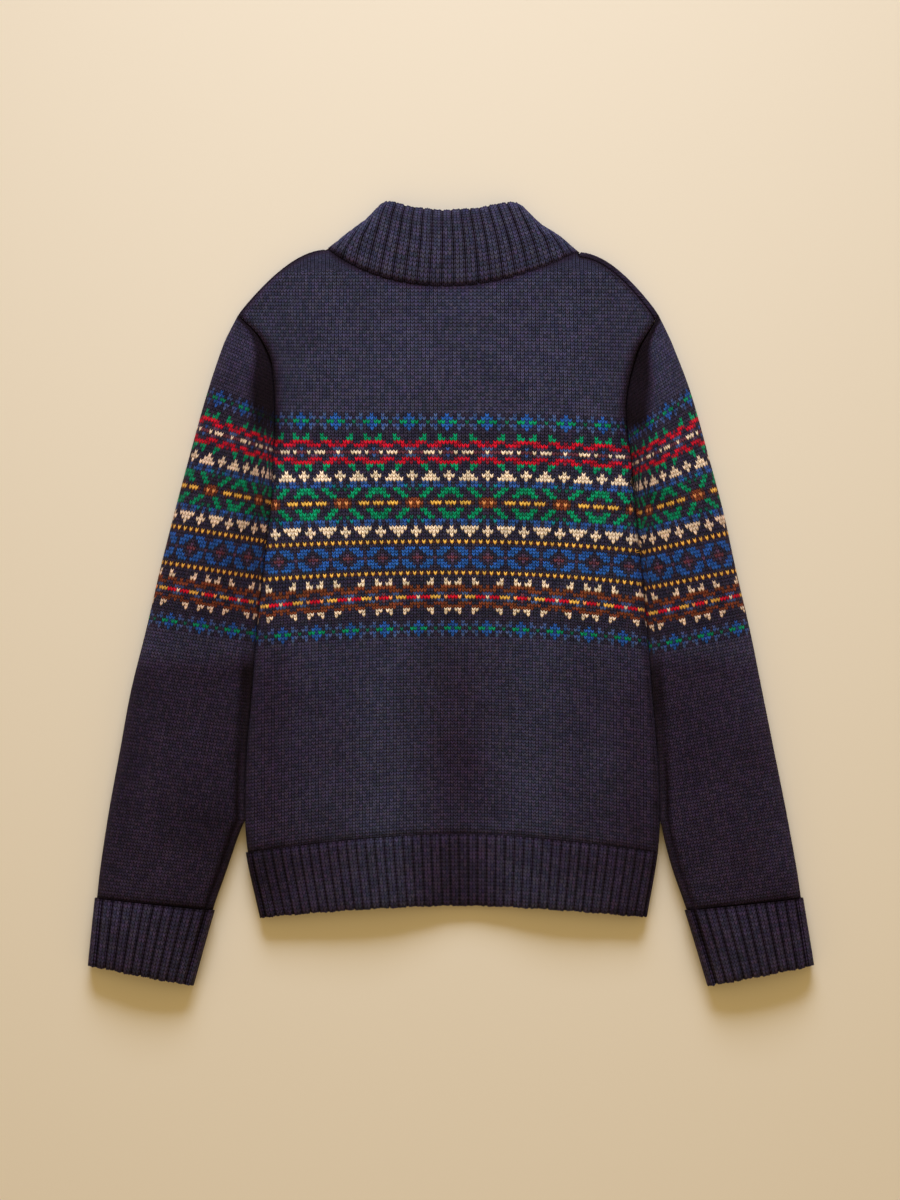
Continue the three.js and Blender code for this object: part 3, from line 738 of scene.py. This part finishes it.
def grid_normals(points, closed):
    if closed:
        points = np.concatenate([points[:, -2:-1], points, points[:, 1:2]], 1)
    across = np.gradient(points, axis=1)
    along = np.gradient(points, axis=0)
    normal = np.cross(across, along)
    normal /= np.maximum(np.linalg.norm(normal, axis=2, keepdims=True), TINY)
    return normal[:, 1:-1] if closed else normal


def edge_distance(points):
    """Distance of each point from the nearest edge or seam of its piece, along the grid."""
    nearest = np.full(points.shape[:2], FAR)
    for axis in (0, 1):
        steps = np.linalg.norm(np.diff(points, axis=axis), axis=2)
        pad = [(0, 0), (0, 0)]
        pad[axis] = (1, 0)
        run = np.cumsum(np.pad(steps, pad), axis)
        total = np.take(run, [-1], axis)
        nearest = np.minimum(nearest, np.minimum(run, total - run))
    return nearest


def grid_mesh(name, points):
    """A mesh with one vertex for each point of the grid."""
    deselect()
    rows, columns = points.shape[:2]
    bpy.ops.mesh.primitive_grid_add(x_subdivisions=columns - 1, y_subdivisions=rows - 1, size=1)
    piece = bpy.context.object
    piece.name = name
    piece.data.name = name
    piece.data.vertices.foreach_set("co", (points * MM).astype(np.float32).ravel())
    return piece


def store_stitches(mesh, stitches):
    corners = np.empty(len(mesh.loops), np.int32)
    mesh.loops.foreach_get("vertex_index", corners)
    across = (stitches[..., 0] - FIRST_STITCH) / STITCH_SPAN
    up = (LAST_ROW - stitches[..., 1]) / STITCH_SPAN
    unit = np.stack([across, up], -1).reshape(-1, 2)
    mesh.uv_layers[0].name = "stitches"
    mesh.uv_layers[0].uv.foreach_set("vector", unit[corners].astype(np.float32).ravel())


# Stores the painted shade of each point, which darkens the cloth's colour where shade falls.
def store_painted_shade(mesh, painted_shade):
    tone = mesh.attributes.new("painted_shade", "FLOAT", "POINT")
    tone.data.foreach_set("value", painted_shade.astype(np.float32).ravel())
    mesh.update()


def join_seam():
    """Joins the first and last column of the active tube, which lie in one place."""
    bpy.ops.object.mode_set(mode="EDIT")
    bpy.ops.mesh.select_all(action="SELECT")
    bpy.ops.mesh.remove_doubles(threshold=0.01 * MM)
    bpy.ops.object.mode_set(mode="OBJECT")


def give_wall(piece, thickness):
    """Thickens a piece inwards and keeps all of it above the surface."""
    thicken = piece.modifiers.new("wall", "SOLIDIFY")
    thicken.thickness = thickness * MM
    thicken.offset = -1
    bpy.ops.object.modifier_apply(modifier=thicken.name)
    laid = np.empty(len(piece.data.vertices) * 3, np.float32)
    piece.data.vertices.foreach_get("co", laid)
    laid[2::3] = np.maximum(laid[2::3], 0)
    piece.data.vertices.foreach_set("co", laid)


def knitted_piece(name, points, stitches, creases, painted_shade, seam_painted_shade, closed=False, relief=None):
    """A shell of knitted cloth on a grid of points. With a relief it is ribbed."""
    normals = grid_normals(points, closed)
    tuck = nearness(edge_distance(points), TUCK_REACH)
    moved = points.copy() if relief is None else points + normals * relief[..., None]
    moved[..., 2] -= TUCK_DEPTH * tuck * normals[..., 2]
    moved[..., 2] += creased(points, creases) * on_top(moved)
    moved[..., 2] = np.maximum(moved[..., 2], 0)
    if closed:
        moved[:, -1] = moved[:, 0]
    piece = grid_mesh(name, moved)
    store_stitches(piece.data, stitches)
    # Painted shade on each point, deepened where the cloth tucks in at its edges and seams.
    store_painted_shade(piece.data, np.clip(painted_shade + seam_painted_shade * tuck, 0, 1))
    if closed:
        join_seam()
    give_wall(piece, KNIT_WALL if relief is None else RIB_WALL)
    bpy.ops.object.shade_smooth_by_angle(angle=math.radians(SMOOTH_ANGLE))
    piece.data.materials.append(patterned_wool if relief is None else rib_wool)
    return piece


def from_groove(place):
    return np.minimum(place % 1, 1 - place % 1)


def rib_relief(place):
    """How far a rib stands out: two raised wales with a slight dip between them, then a groove."""
    distance = from_groove(place)
    return RIB_RELIEF * (smooth(distance, 0.02, 0.17) - 0.12 * smooth(distance, 0.38, 0.5))


def scalloped(points, place, free_row):
    """The ribs of a free edge, each ending in a slight round with a little unevenness."""
    outwards = points[free_row] - points[1 if free_row == 0 else -2]
    outwards /= np.maximum(np.linalg.norm(outwards, axis=1, keepdims=True), TINY)
    steps = np.linalg.norm(points - points[free_row], axis=2)
    uneven = 0.5 * np.sin(place * 1.7) + 0.4 * np.sin(place * 9.1) + 0.5 * np.sin(place * 23.7 + 1)
    raised = rib_relief(place) / RIB_RELIEF - 0.5 + uneven
    return points + outwards * (SCALLOP * raised * nearness(steps, SCALLOP_REACH))[..., None]


# Painted shade of a rib: its base, and more in the groove between ribs.
def rib_painted_shade(place, base):
    return np.clip(base + GROOVE_PAINTED_SHADE * (1 - smooth(from_groove(place), 0.02, 0.13)), 0, 1)


def grid(columns, rows):
    return np.meshgrid(np.asarray(columns, float), np.asarray(rows, float))


# Yarns and the chart of the pattern

NAVY = (0.063, 0.060, 0.099)
BAND_GROUND = (0.043, 0.037, 0.060)

# The chart's yarns, each with its letter
YARNS = {
    ".": BAND_GROUND,
    "B": (0.030, 0.125, 0.40),
    "D": (0.030, 0.070, 0.21),
    "b": (0.045, 0.105, 0.27),
    "p": (0.075, 0.115, 0.23),
    "T": (0.010, 0.22, 0.23),
    "G": (0.004, 0.30, 0.115),
    "g": (0.012, 0.15, 0.08),
    "R": (0.72, 0.010, 0.028),
    "r": (0.34, 0.016, 0.035),
    "C": (1.0, 0.76, 0.47),
    "Y": (0.98, 0.53, 0.08),
    "A": (0.95, 0.36, 0.10),
    "O": (0.24, 0.060, 0.022),
    "M": (0.17, 0.050, 0.060),
    "m": (0.13, 0.07, 0.12),
    "k": (0.090, 0.034, 0.028),
}

# Half a repeat of each motif, from its mirror stitch to the opposite one. The rows run from a
# motif's edge to its middle row, and are mirrored beyond it.
MOTIFS = {
    "flowers": ["B..p...p..B", "BB.bp.pb.BB", "DGG..g..GGD"],
    "red_band": [
        "..G...G....",
        ".GG...GG...",
        "RRRr..rRR.r",
        "..rRRR..RRr",
        "b..mm....pp",
        "MMC.CCCMMMC",
    ],
    "crowns": [
        "C....C....C",
        "CC..CCC..CC",
        "C..CCCCC..C",
        "b..bb.bb..b",
        "b.bBb.bBT.b",
        "GGg..GG..g.",
        "gGG...GG...",
        "..GG...GG..",
        "k...k...kOO",
        "YYkYYYk.OAO",
    ],
    "even_dots": ["YkYkYkYkYkY"],
    "leaves": [".BBB...BBB.", "..BBB.BBB..", "m..BB.BB..m", "MM...m...MM"],
    "odd_dots": ["kYkYkYkYkYk"],
    "roses": [
        "..C...C....",
        ".CC...CC...",
        "OOOO..OOO.O",
        "..OOOO..OOO",
        "M..pp....pp",
        "RRA.YYYRRRC",
    ],
}
MOTIF_MIDDLES = {"red_band": 11, "crowns": 26, "even_dots": 37, "leaves": 42, "odd_dots": 47, "roses": 54}
FLOWER_MIDDLES = (2, 64)
HALF_REPEAT = 10
SAME = 0.2

# Painted shade between stitches of dark and of pale yarn, the painted shade's colours at half and
# in full, the sheen's colour, and where pale yarn and the mottling of the painted shade begin and are
# complete
DARK_GAP_SHADE = (0.07, 0.045, 0.055)
PALE_GAP_SHADE = (0.5, 0.42, 0.37)
HALF_PAINTED_SHADE = (0.67, 0.47, 0.52)
FULL_PAINTED_SHADE = (0.13, 0.055, 0.06)
SHEEN_TINT = (0.85, 0.52, 0.45)
PALE_LIGHTNESS = (0.04, 0.2)
MOTTLED_PAINTED_SHADE = (0.02, 0.3)

# Unevenness of the wool, and the mottling of the painted shade, in spots to a metre
PATCH_SCALE = 38
PAINTED_SHADE_MOTTLING_SCALE = 15
FIBRE_SCALE = 1500

# How strongly each kind of unevenness shades the yarn, and from which base, and how the painted
# shade is mottled. Pale yarn takes fewer flecks.
STITCH_SHADE = (0.5, 0.79)
PATCH_SHADE = (0.5, 0.76)
FIBRE_SHADE = (0.9, 0.58)
FLECK_SHADE = (-0.17, 0.21)
PAINTED_SHADE_MOTTLING = (0.55, -0.275)
FIBRE_HEIGHT = 0.4

# One stitch: how steeply its two legs lie, how full they are, how they end and join, how high
# they stand in metres, and between which of their heights the painted shade between stitches gives way to the
# yarn's colour
LEG_RISE = 0.6
LEG_FULLNESS = 2.2
LEG_END_DIP = 0.9
LEGS_JOINED = (-1.1, 0.6)
WALE_EDGE = (1.04, 0.7)
GROOVE_WIDTH = 0.32
STITCH_HEIGHT = 0.0009
LIT_HEIGHTS = (0.3, 0.88)
LIT_RIB_HEIGHTS = (0.2, 0.76)


class Finish:
    """A material whose nodes are made by short calls."""

    def __init__(self, name):
        self.material = bpy.data.materials.new(name)
        self.material.use_nodes = True
        self.tree = self.material.node_tree
        self.shader = self.tree.nodes["Principled BSDF"]

    def node(self, kind, **settings):
        made = self.tree.nodes.new(kind)
        for key, value in settings.items():
            setattr(made, key, value)
        return made

    def plug(self, value, socket):
        if isinstance(value, bpy.types.NodeSocket):
            self.tree.links.new(value, socket)
        else:
            socket.default_value = value

    def math(self, operation, *values):
        made = self.node("ShaderNodeMath", operation=operation)
        for value, socket in zip(values, made.inputs):
            self.plug(value, socket)
        return made.outputs[0]

    def mix(self, factor, first, second, blend="MIX"):
        made = self.node("ShaderNodeMix", data_type="RGBA", blend_type=blend)
        for value, socket in ((factor, made.inputs[0]), (first, made.inputs[6]), (second, made.inputs[7])):
            self.plug((*value, 1) if isinstance(value, tuple) else value, socket)
        return made.outputs[2]

    def noise(self, scale, detail):
        made = self.node("ShaderNodeTexNoise")
        made.inputs["Scale"].default_value = scale
        made.inputs["Detail"].default_value = detail
        self.plug(self.node("ShaderNodeTexCoord").outputs["Object"], made.inputs["Vector"])
        return made.outputs["Fac"]

    def ramp(self, value, low, high):
        """value between low and high, as 0 to 1."""
        made = self.node("ShaderNodeMapRange", clamp=True)
        for number, socket in zip((value, low, high, 0, 1), made.inputs):
            self.plug(number, socket)
        return made.outputs[0]


def knit(finish):
    """Stitches as pairs of legs that meet in a V.

    Gives the place along the row, the stitch, the row, and the yarn's height."""
    uv = finish.node("ShaderNodeUVMap", uv_map="stitches").outputs[0]
    split = finish.node("ShaderNodeSeparateXYZ")
    finish.plug(uv, split.inputs[0])
    across = finish.math("MULTIPLY_ADD", split.outputs[0], STITCH_SPAN, FIRST_STITCH + 0.5)
    down = finish.math("MULTIPLY_ADD", split.outputs[1], -STITCH_SPAN, LAST_ROW + 0.5)
    stitch = finish.math("FLOOR", across)
    within = finish.math("SUBTRACT", across, stitch)
    from_middle = finish.math("MULTIPLY", finish.math("ABSOLUTE", finish.math("SUBTRACT", within, 0.5)), 2)
    leaned = finish.math("MULTIPLY_ADD", finish.math("SUBTRACT", from_middle, 0.5), LEG_RISE, down)
    row = finish.math("FLOOR", leaned)
    along_leg = finish.math("SUBTRACT", leaned, row)
    leg_side = finish.math("ABSOLUTE", finish.math("SUBTRACT", finish.math("MULTIPLY", from_middle, 2), 1))
    leg_end = finish.math("ABSOLUTE", finish.math("MULTIPLY_ADD", along_leg, 2, -1))
    leg = finish.math("SUBTRACT", 1, finish.math("POWER", leg_side, LEG_FULLNESS))
    joined = finish.math("MULTIPLY_ADD", from_middle, *LEGS_JOINED)
    between_wales = finish.ramp(from_middle, *WALE_EDGE)
    round_across = finish.math("MULTIPLY", finish.math("MAXIMUM", leg, joined), between_wales)
    round_along = finish.math("MULTIPLY_ADD", finish.math("POWER", leg_end, 2), -LEG_END_DIP, 1)
    height = finish.math("SQRT", finish.math("MULTIPLY", round_across, round_along))
    return finish.math("SUBTRACT", across, 0.5), stitch, row, height


def chart_colour(finish, stitch, row):
    """Colour of each stitch, read from the chart."""
    repeat = 2 * HALF_REPEAT
    wrapped = finish.math("FLOORED_MODULO", finish.math("ADD", stitch, HALF_REPEAT), repeat)
    column = finish.math("ABSOLUTE", finish.math("SUBTRACT", wrapped, HALF_REPEAT))
    place = finish.math("DIVIDE", finish.math("ADD", column, 0.5), HALF_REPEAT + 1)
    between = sum(FLOWER_MIDDLES) / 2
    from_between = finish.math("ABSOLUTE", finish.math("SUBTRACT", row, between))
    from_flowers = finish.math("ABSOLUTE", finish.math("SUBTRACT", from_between, FLOWER_MIDDLES[1] - between))
    in_band = finish.math("COMPARE", row, between, between + 0.5)
    colour = finish.mix(in_band, NAVY, BAND_GROUND)
    for motif, lines in MOTIFS.items():
        if motif in MOTIF_MIDDLES:
            distance = finish.math("ABSOLUTE", finish.math("SUBTRACT", row, MOTIF_MIDDLES[motif]))
        else:
            distance = from_flowers
        for i, line in enumerate(lines):
            chosen = finish.math("COMPARE", distance, len(lines) - 1 - i, SAME)
            ramp = finish.node("ShaderNodeValToRGB")
            ramp.color_ramp.interpolation = "CONSTANT"
            stops = ramp.color_ramp.elements
            stops.remove(stops[1])
            stops[0].color = (*YARNS[line[0]], 1)
            for j in range(1, len(line)):
                if line[j] != line[j - 1]:
                    stops.new(j / len(line)).color = (*YARNS[line[j]], 1)
            finish.plug(place, ramp.inputs[0])
            colour = finish.mix(chosen, colour, ramp.outputs[0])
    return colour


def in_grooves(finish, along, lit):
    """Takes the light out of the grooves between the ribs."""
    half = STITCHES_PER_RIB / 2
    into_rib = finish.math("FLOORED_MODULO", finish.math("ADD", along, half), STITCHES_PER_RIB)
    into_groove = finish.math("ABSOLUTE", finish.math("SUBTRACT", into_rib, half))
    return finish.math("MULTIPLY", lit, finish.ramp(into_groove, 0, GROOVE_WIDTH))


def uneven_yarn(finish, colour, pale, stitch, row, fibres):
    """The yarn's colour with a shade and a fleck of its own in each stitch."""
    place = finish.node("ShaderNodeCombineXYZ")
    finish.plug(stitch, place.inputs[0])
    finish.plug(row, place.inputs[1])
    chance = finish.node("ShaderNodeTexWhiteNoise", noise_dimensions="2D")
    finish.plug(place.outputs[0], chance.inputs["Vector"])
    patches = finish.noise(PATCH_SCALE, 3)
    shade = finish.math("MULTIPLY_ADD", chance.outputs[0], *STITCH_SHADE)
    shade = finish.math("MULTIPLY", shade, finish.math("MULTIPLY_ADD", patches, *PATCH_SHADE))
    shade = finish.math("MULTIPLY", shade, finish.math("MULTIPLY_ADD", fibres, *FIBRE_SHADE))
    grey = finish.node("ShaderNodeCombineColor")
    for socket in grey.inputs[:3]:
        finish.plug(shade, socket)
    flecks = finish.math("MULTIPLY_ADD", pale, *FLECK_SHADE)
    dyed = finish.mix(flecks, colour, chance.outputs["Color"], "MULTIPLY")
    return finish.mix(1, dyed, grey.outputs[0], "MULTIPLY")


# Darkens the colour by the painted shade, a little mottled: through pale purple at half to near black where
# it is full.
def apply_painted_shade(finish, colour):
    painted_shade = finish.node("ShaderNodeAttribute", attribute_name="painted_shade").outputs["Fac"]
    mottled_shade = finish.math("MULTIPLY_ADD", finish.noise(PAINTED_SHADE_MOTTLING_SCALE, 2), *PAINTED_SHADE_MOTTLING)
    mottled_shade = finish.math("MULTIPLY", mottled_shade, finish.ramp(painted_shade, *MOTTLED_PAINTED_SHADE))
    painted_shade_ramp = finish.node("ShaderNodeValToRGB")
    stops = painted_shade_ramp.color_ramp.elements
    stops[0].color = (1, 1, 1, 1)
    stops[1].color = (*FULL_PAINTED_SHADE, 1)
    stops.new(0.5).color = (*HALF_PAINTED_SHADE, 1)
    finish.plug(finish.math("ADD", painted_shade, mottled_shade), painted_shade_ramp.inputs[0])
    return finish.mix(1, colour, painted_shade_ramp.outputs[0], "MULTIPLY")


def wool(name, ribbed=False):
    """Knitted wool: with the chart's pattern, or plain and ribbed."""
    finish = Finish(name)
    along, stitch, row, height = knit(finish)
    colour, pale = NAVY, 0
    if not ribbed:
        colour = chart_colour(finish, stitch, row)
        lightness = finish.node("ShaderNodeRGBToBW")
        finish.plug(colour, lightness.inputs[0])
        pale = finish.ramp(lightness.outputs[0], *PALE_LIGHTNESS)
    fibres = finish.noise(FIBRE_SCALE, 3)
    yarn = uneven_yarn(finish, colour, pale, stitch, row, fibres)
    # Painted shade between the stitches' legs, which gives way to the yarn where the legs stand high
    between = finish.mix(1, yarn, finish.mix(pale, DARK_GAP_SHADE, PALE_GAP_SHADE), "MULTIPLY")
    lit = finish.ramp(height, *(LIT_RIB_HEIGHTS if ribbed else LIT_HEIGHTS))
    if ribbed:
        lit = in_grooves(finish, along, lit)
    stitched = finish.mix(lit, between, yarn)
    relief = finish.node("ShaderNodeBump")
    relief.inputs["Strength"].default_value = 1
    relief.inputs["Distance"].default_value = STITCH_HEIGHT
    finish.plug(finish.math("MULTIPLY_ADD", fibres, FIBRE_HEIGHT, height), relief.inputs["Height"])
    finish.plug(apply_painted_shade(finish, stitched), finish.shader.inputs["Base Color"])
    finish.plug(relief.outputs[0], finish.shader.inputs["Normal"])
    finish.shader.inputs["Roughness"].default_value = 0.92
    finish.shader.inputs["Specular IOR Level"].default_value = 0.06
    finish.shader.inputs["Sheen Weight"].default_value = 0.035
    finish.shader.inputs["Sheen Roughness"].default_value = 0.4
    finish.shader.inputs["Sheen Tint"].default_value = (*SHEEN_TINT, 1)
    return finish.material


patterned_wool = wool("patterned_wool")
rib_wool = wool("rib_wool", ribbed=True)


# Camera, light and floor

# In metres, apart from the film
CAMERA_HEIGHT = 2.4
FRAME_HEIGHT = 0.9
FRAME_CENTRE = (-0.00075, -0.006)
FOCUS_HEIGHT = 0.006
FILM_HEIGHT = 24
FLOOR_SIZE = 24
FLOOR_COLOUR = (0.80, 0.66, 0.443)
WORLD_COLOUR = (1, 0.795, 0.44)
WORLD_STRENGTH = 0.475


def add_camera():
    bpy.ops.object.camera_add(location=(*FRAME_CENTRE, CAMERA_HEIGHT), rotation=(0, 0, 0))
    camera = bpy.context.object
    camera.name = "camera"
    camera.data.sensor_width = FILM_HEIGHT
    camera.data.lens = FILM_HEIGHT * (CAMERA_HEIGHT - FOCUS_HEIGHT) / FRAME_HEIGHT
    bpy.context.scene.camera = camera


def add_light(name, place, aim, size, power, colour, spread=180):
    bpy.ops.object.light_add(type="AREA", location=place)
    light = bpy.context.object
    light.name = name
    light.data.shape = "RECTANGLE"
    light.data.size, light.data.size_y = size
    light.data.energy = power
    light.data.color = colour
    light.data.spread = math.radians(spread)
    x, y, z = (b - a for a, b in zip(place, aim))
    light.rotation_euler = (math.pi / 2 - math.atan2(-z, math.hypot(x, y)), 0, math.atan2(y, x) - math.pi / 2)


def add_floor():
    deselect()
    bpy.ops.mesh.primitive_plane_add(size=FLOOR_SIZE)
    floor = bpy.context.object
    floor.name = "floor"
    finish = Finish("pale_floor")
    finish.shader.inputs["Base Color"].default_value = (*FLOOR_COLOUR, 1)
    finish.shader.inputs["Roughness"].default_value = 0.9
    floor.data.materials.append(finish.material)


def add_world():
    world = bpy.data.worlds.new("studio")
    world.use_nodes = True
    background = world.node_tree.nodes["Background"]
    background.inputs["Color"].default_value = (*WORLD_COLOUR, 1)
    background.inputs["Strength"].default_value = WORLD_STRENGTH
    bpy.context.scene.world = world
    bpy.context.scene.view_settings.view_transform = "Standard"


deselect()
add_camera()
add_light(
    "key", place=(0, 2.1, 0.98), aim=(0, 0, 0), size=(1.5, 0.9), power=16.2,
    colour=(0.54, 0.65, 0.95), spread=62,
)
add_light("fill", place=(0, 0.3, 3.2), aim=(0, 0, 0), size=(3, 3), power=7.3, colour=(1, 0.88, 0.57))
add_world()
add_floor()


# Pieces


def panel_columns(is_back, flat_steps):
    left, right = BACK_FOLD_SHARES if is_back else FRONT_FOLD_SHARES
    runs = [
        np.linspace(0, left, FOLD_STEPS + 1)[:-1],
        np.linspace(left, 1 - right, flat_steps + 1),
        np.linspace(1 - right, 1, FOLD_STEPS)[1:],
    ]
    columns = np.concatenate(runs)
    return columns if is_back else columns[::-1]


def add_panel(name, is_back, flat_steps, row_steps):
    ways = np.concatenate([np.linspace(0, 1, row_steps + 1), np.linspace(1, 2, FOLD_STEPS + 1)[1:]])
    run, way = grid(panel_columns(is_back, flat_steps), ways)
    points = panel_point(run, way, is_back)
    if is_back:
        stitches = stitch_map(points, BODY_ROWS)
    else:
        stitches = stitch_map(points[:, ::-1], BODY_ROWS)[:, ::-1]
    # Painted shade over the fold at the shoulders, and along the seams, weaker below the armholes.
    painted_shade = body_painted_shade(points) + SHOULDER_PAINTED_SHADE * smooth(way, 0.98, 1.7)
    seam_painted_shade = SEAM_PAINTED_SHADE * lerp(0.3, 0.9, smooth(points[..., 1], 90, 130))
    return knitted_piece(name, points, stitches, BODY_CREASES, painted_shade, seam_painted_shade)


def add_hem(name, is_back):
    ribs = np.linspace(0, 1, HEM_RIBS * STEPS_PER_RIB + 1)
    run, way = grid(ribs if is_back else ribs[::-1], np.linspace(0, 1, RIB_ROW_STEPS + 1))
    place = run * HEM_RIBS
    points = scalloped(hem_point(run, way, is_back), place, 0)
    stitches = np.stack([STITCHES_PER_RIB * place, HEM_FIRST_ROW + HEM_ROWS * (1 - way)], -1)
    relief = rib_relief(place) - (0 if is_back else RIB_RELIEF)
    # Painted shade of the hem: the body's, more on the ribs and in their grooves, and some along the seam.
    painted_shade = rib_painted_shade(place, HEM_PAINTED_SHADE + body_painted_shade(points))
    return knitted_piece(name, points, stitches, BODY_CREASES, painted_shade, HEM_SEAM_PAINTED_SHADE * way, relief=relief)


def tube_turns(side, steps):
    """Places once round a sleeve or cuff, from its seam back to its seam."""
    return np.linspace(SEAM_TURN[side] - 4, SEAM_TURN[side], steps + 1)


def add_sleeve(side):
    last = len(SLEEVE_SECTIONS["roll"]) - 1
    turn, way = grid(tube_turns(side, SLEEVE_STEPS), np.linspace(0, last, SLEEVE_ROW_STEPS + 1))
    turn = (turn + 1) % 4 - 1
    points = sleeve_point(side, SLEEVE_SECTIONS, turn, way)
    stitches = stitch_map(points, LEFT_SLEEVE_ROWS if side == "left" else RIGHT_SLEEVE_ROWS)
    # Painted shade along the seams, except along the middle of the sleeve's length.
    seam_painted_shade = SEAM_PAINTED_SHADE * (1 - smooth(points[..., 1], -150, -100) * smooth(points[..., 1], 110, 60))
    painted_shade = sleeve_painted_shade(points, side)
    return knitted_piece(
        f"{side}_sleeve", points, stitches, SLEEVE_CREASES[side], painted_shade, seam_painted_shade, closed=True
    )


def add_cuff(side):
    last = len(CUFF_SECTIONS["roll"]) - 1
    turns = tube_turns(side, CUFF_RIBS * 2 * STEPS_PER_RIB)
    turn, way = grid(turns, np.linspace(0, last, RIB_ROW_STEPS + 1))
    place = (turn + 1) / 2 * CUFF_RIBS
    turn = (turn + 1) % 4 - 1
    points = scalloped(sleeve_point(side, CUFF_SECTIONS, turn, way), place, 0)
    stitches = np.stack([STITCHES_PER_RIB * place, CUFF_FIRST_ROW + CUFF_ROWS * (1 - way / last)], -1)
    relief = rib_relief(place) - RIB_RELIEF * underneath(points)
    # Painted shade of the cuff's ribs and grooves, and along its seam.
    painted_shade = rib_painted_shade(place, CUFF_PAINTED_SHADE)
    return knitted_piece(
        f"{side}_cuff", points, stitches, SLEEVE_CREASES[side], painted_shade, SEAM_PAINTED_SHADE * way / last,
        closed=True, relief=relief,
    )


def add_collar():
    last = len(COLLAR_SECTIONS["edge"]) - 1
    places = np.linspace(-COLLAR_HALF_RIBS, COLLAR_HALF_RIBS, COLLAR_HALF_RIBS * 2 * STEPS_PER_RIB + 1)
    place, way = grid(places, np.linspace(0, last, COLLAR_ROW_STEPS + 1))
    points = collar_point(place, way)
    sides = [points[..., 0].min(1, keepdims=True), points[..., 0].max(1, keepdims=True)]
    from_corner = np.minimum(points[..., 0] - sides[0], sides[1] - points[..., 0])
    at_top = smooth(way, last - 0.8, last)
    points[..., 1] -= COLLAR_CORNER_DROP * nearness(from_corner, COLLAR_CORNER_REACH) * at_top
    points = scalloped(points, place, -1)
    stitches = np.stack([STITCHES_PER_RIB * place, COLLAR_FIRST_ROW - COLLAR_ROWS * way / last], -1)
    above_seam = smooth(way / last, 0.02, 0.4)
    relief = rib_relief(place) * lerp(0.5, 1, above_seam) - RIB_RELIEF * underneath(points)
    # Painted shade of the collar: less at its foot, more in the grooves, and most along the neck seam.
    from_seam = np.linalg.norm(points - points[0], axis=2)
    beside_seam = COLLAR_SEAM_PAINTED_SHADE * nearness(from_seam, COLLAR_SEAM_REACH)
    painted_shade = lerp(COLLAR_FOOT_PAINTED_SHADE, rib_painted_shade(place, COLLAR_PAINTED_SHADE), lerp(0.3, 1, above_seam)) + beside_seam
    return knitted_piece(
        "ribbed_collar", points, stitches, BODY_CREASES, painted_shade, SEAM_PAINTED_SHADE * (1 - way / last),
        closed=True, relief=relief,
    )


def lay(piece, node):
    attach(piece, "root")
    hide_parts(node)


front = add_panel("front_panel", is_back=False, flat_steps=80, row_steps=89)
lay(front, "front")
back = add_panel("back_panel", is_back=True, flat_steps=150, row_steps=159)
lay(back, "back")
hem_front = add_hem("front_hem_rib", is_back=False)
lay(hem_front, "hem_band_front")
hem_back = add_hem("back_hem_rib", is_back=True)
lay(hem_back, "hem_band_back")
for side in ("left", "right"):
    sleeve = add_sleeve(side)
    lay(sleeve, f"sleeve_{side}")
    cuff = add_cuff(side)
    lay(cuff, f"cuff_{side}")
collar = add_collar()
lay(collar, "collar")
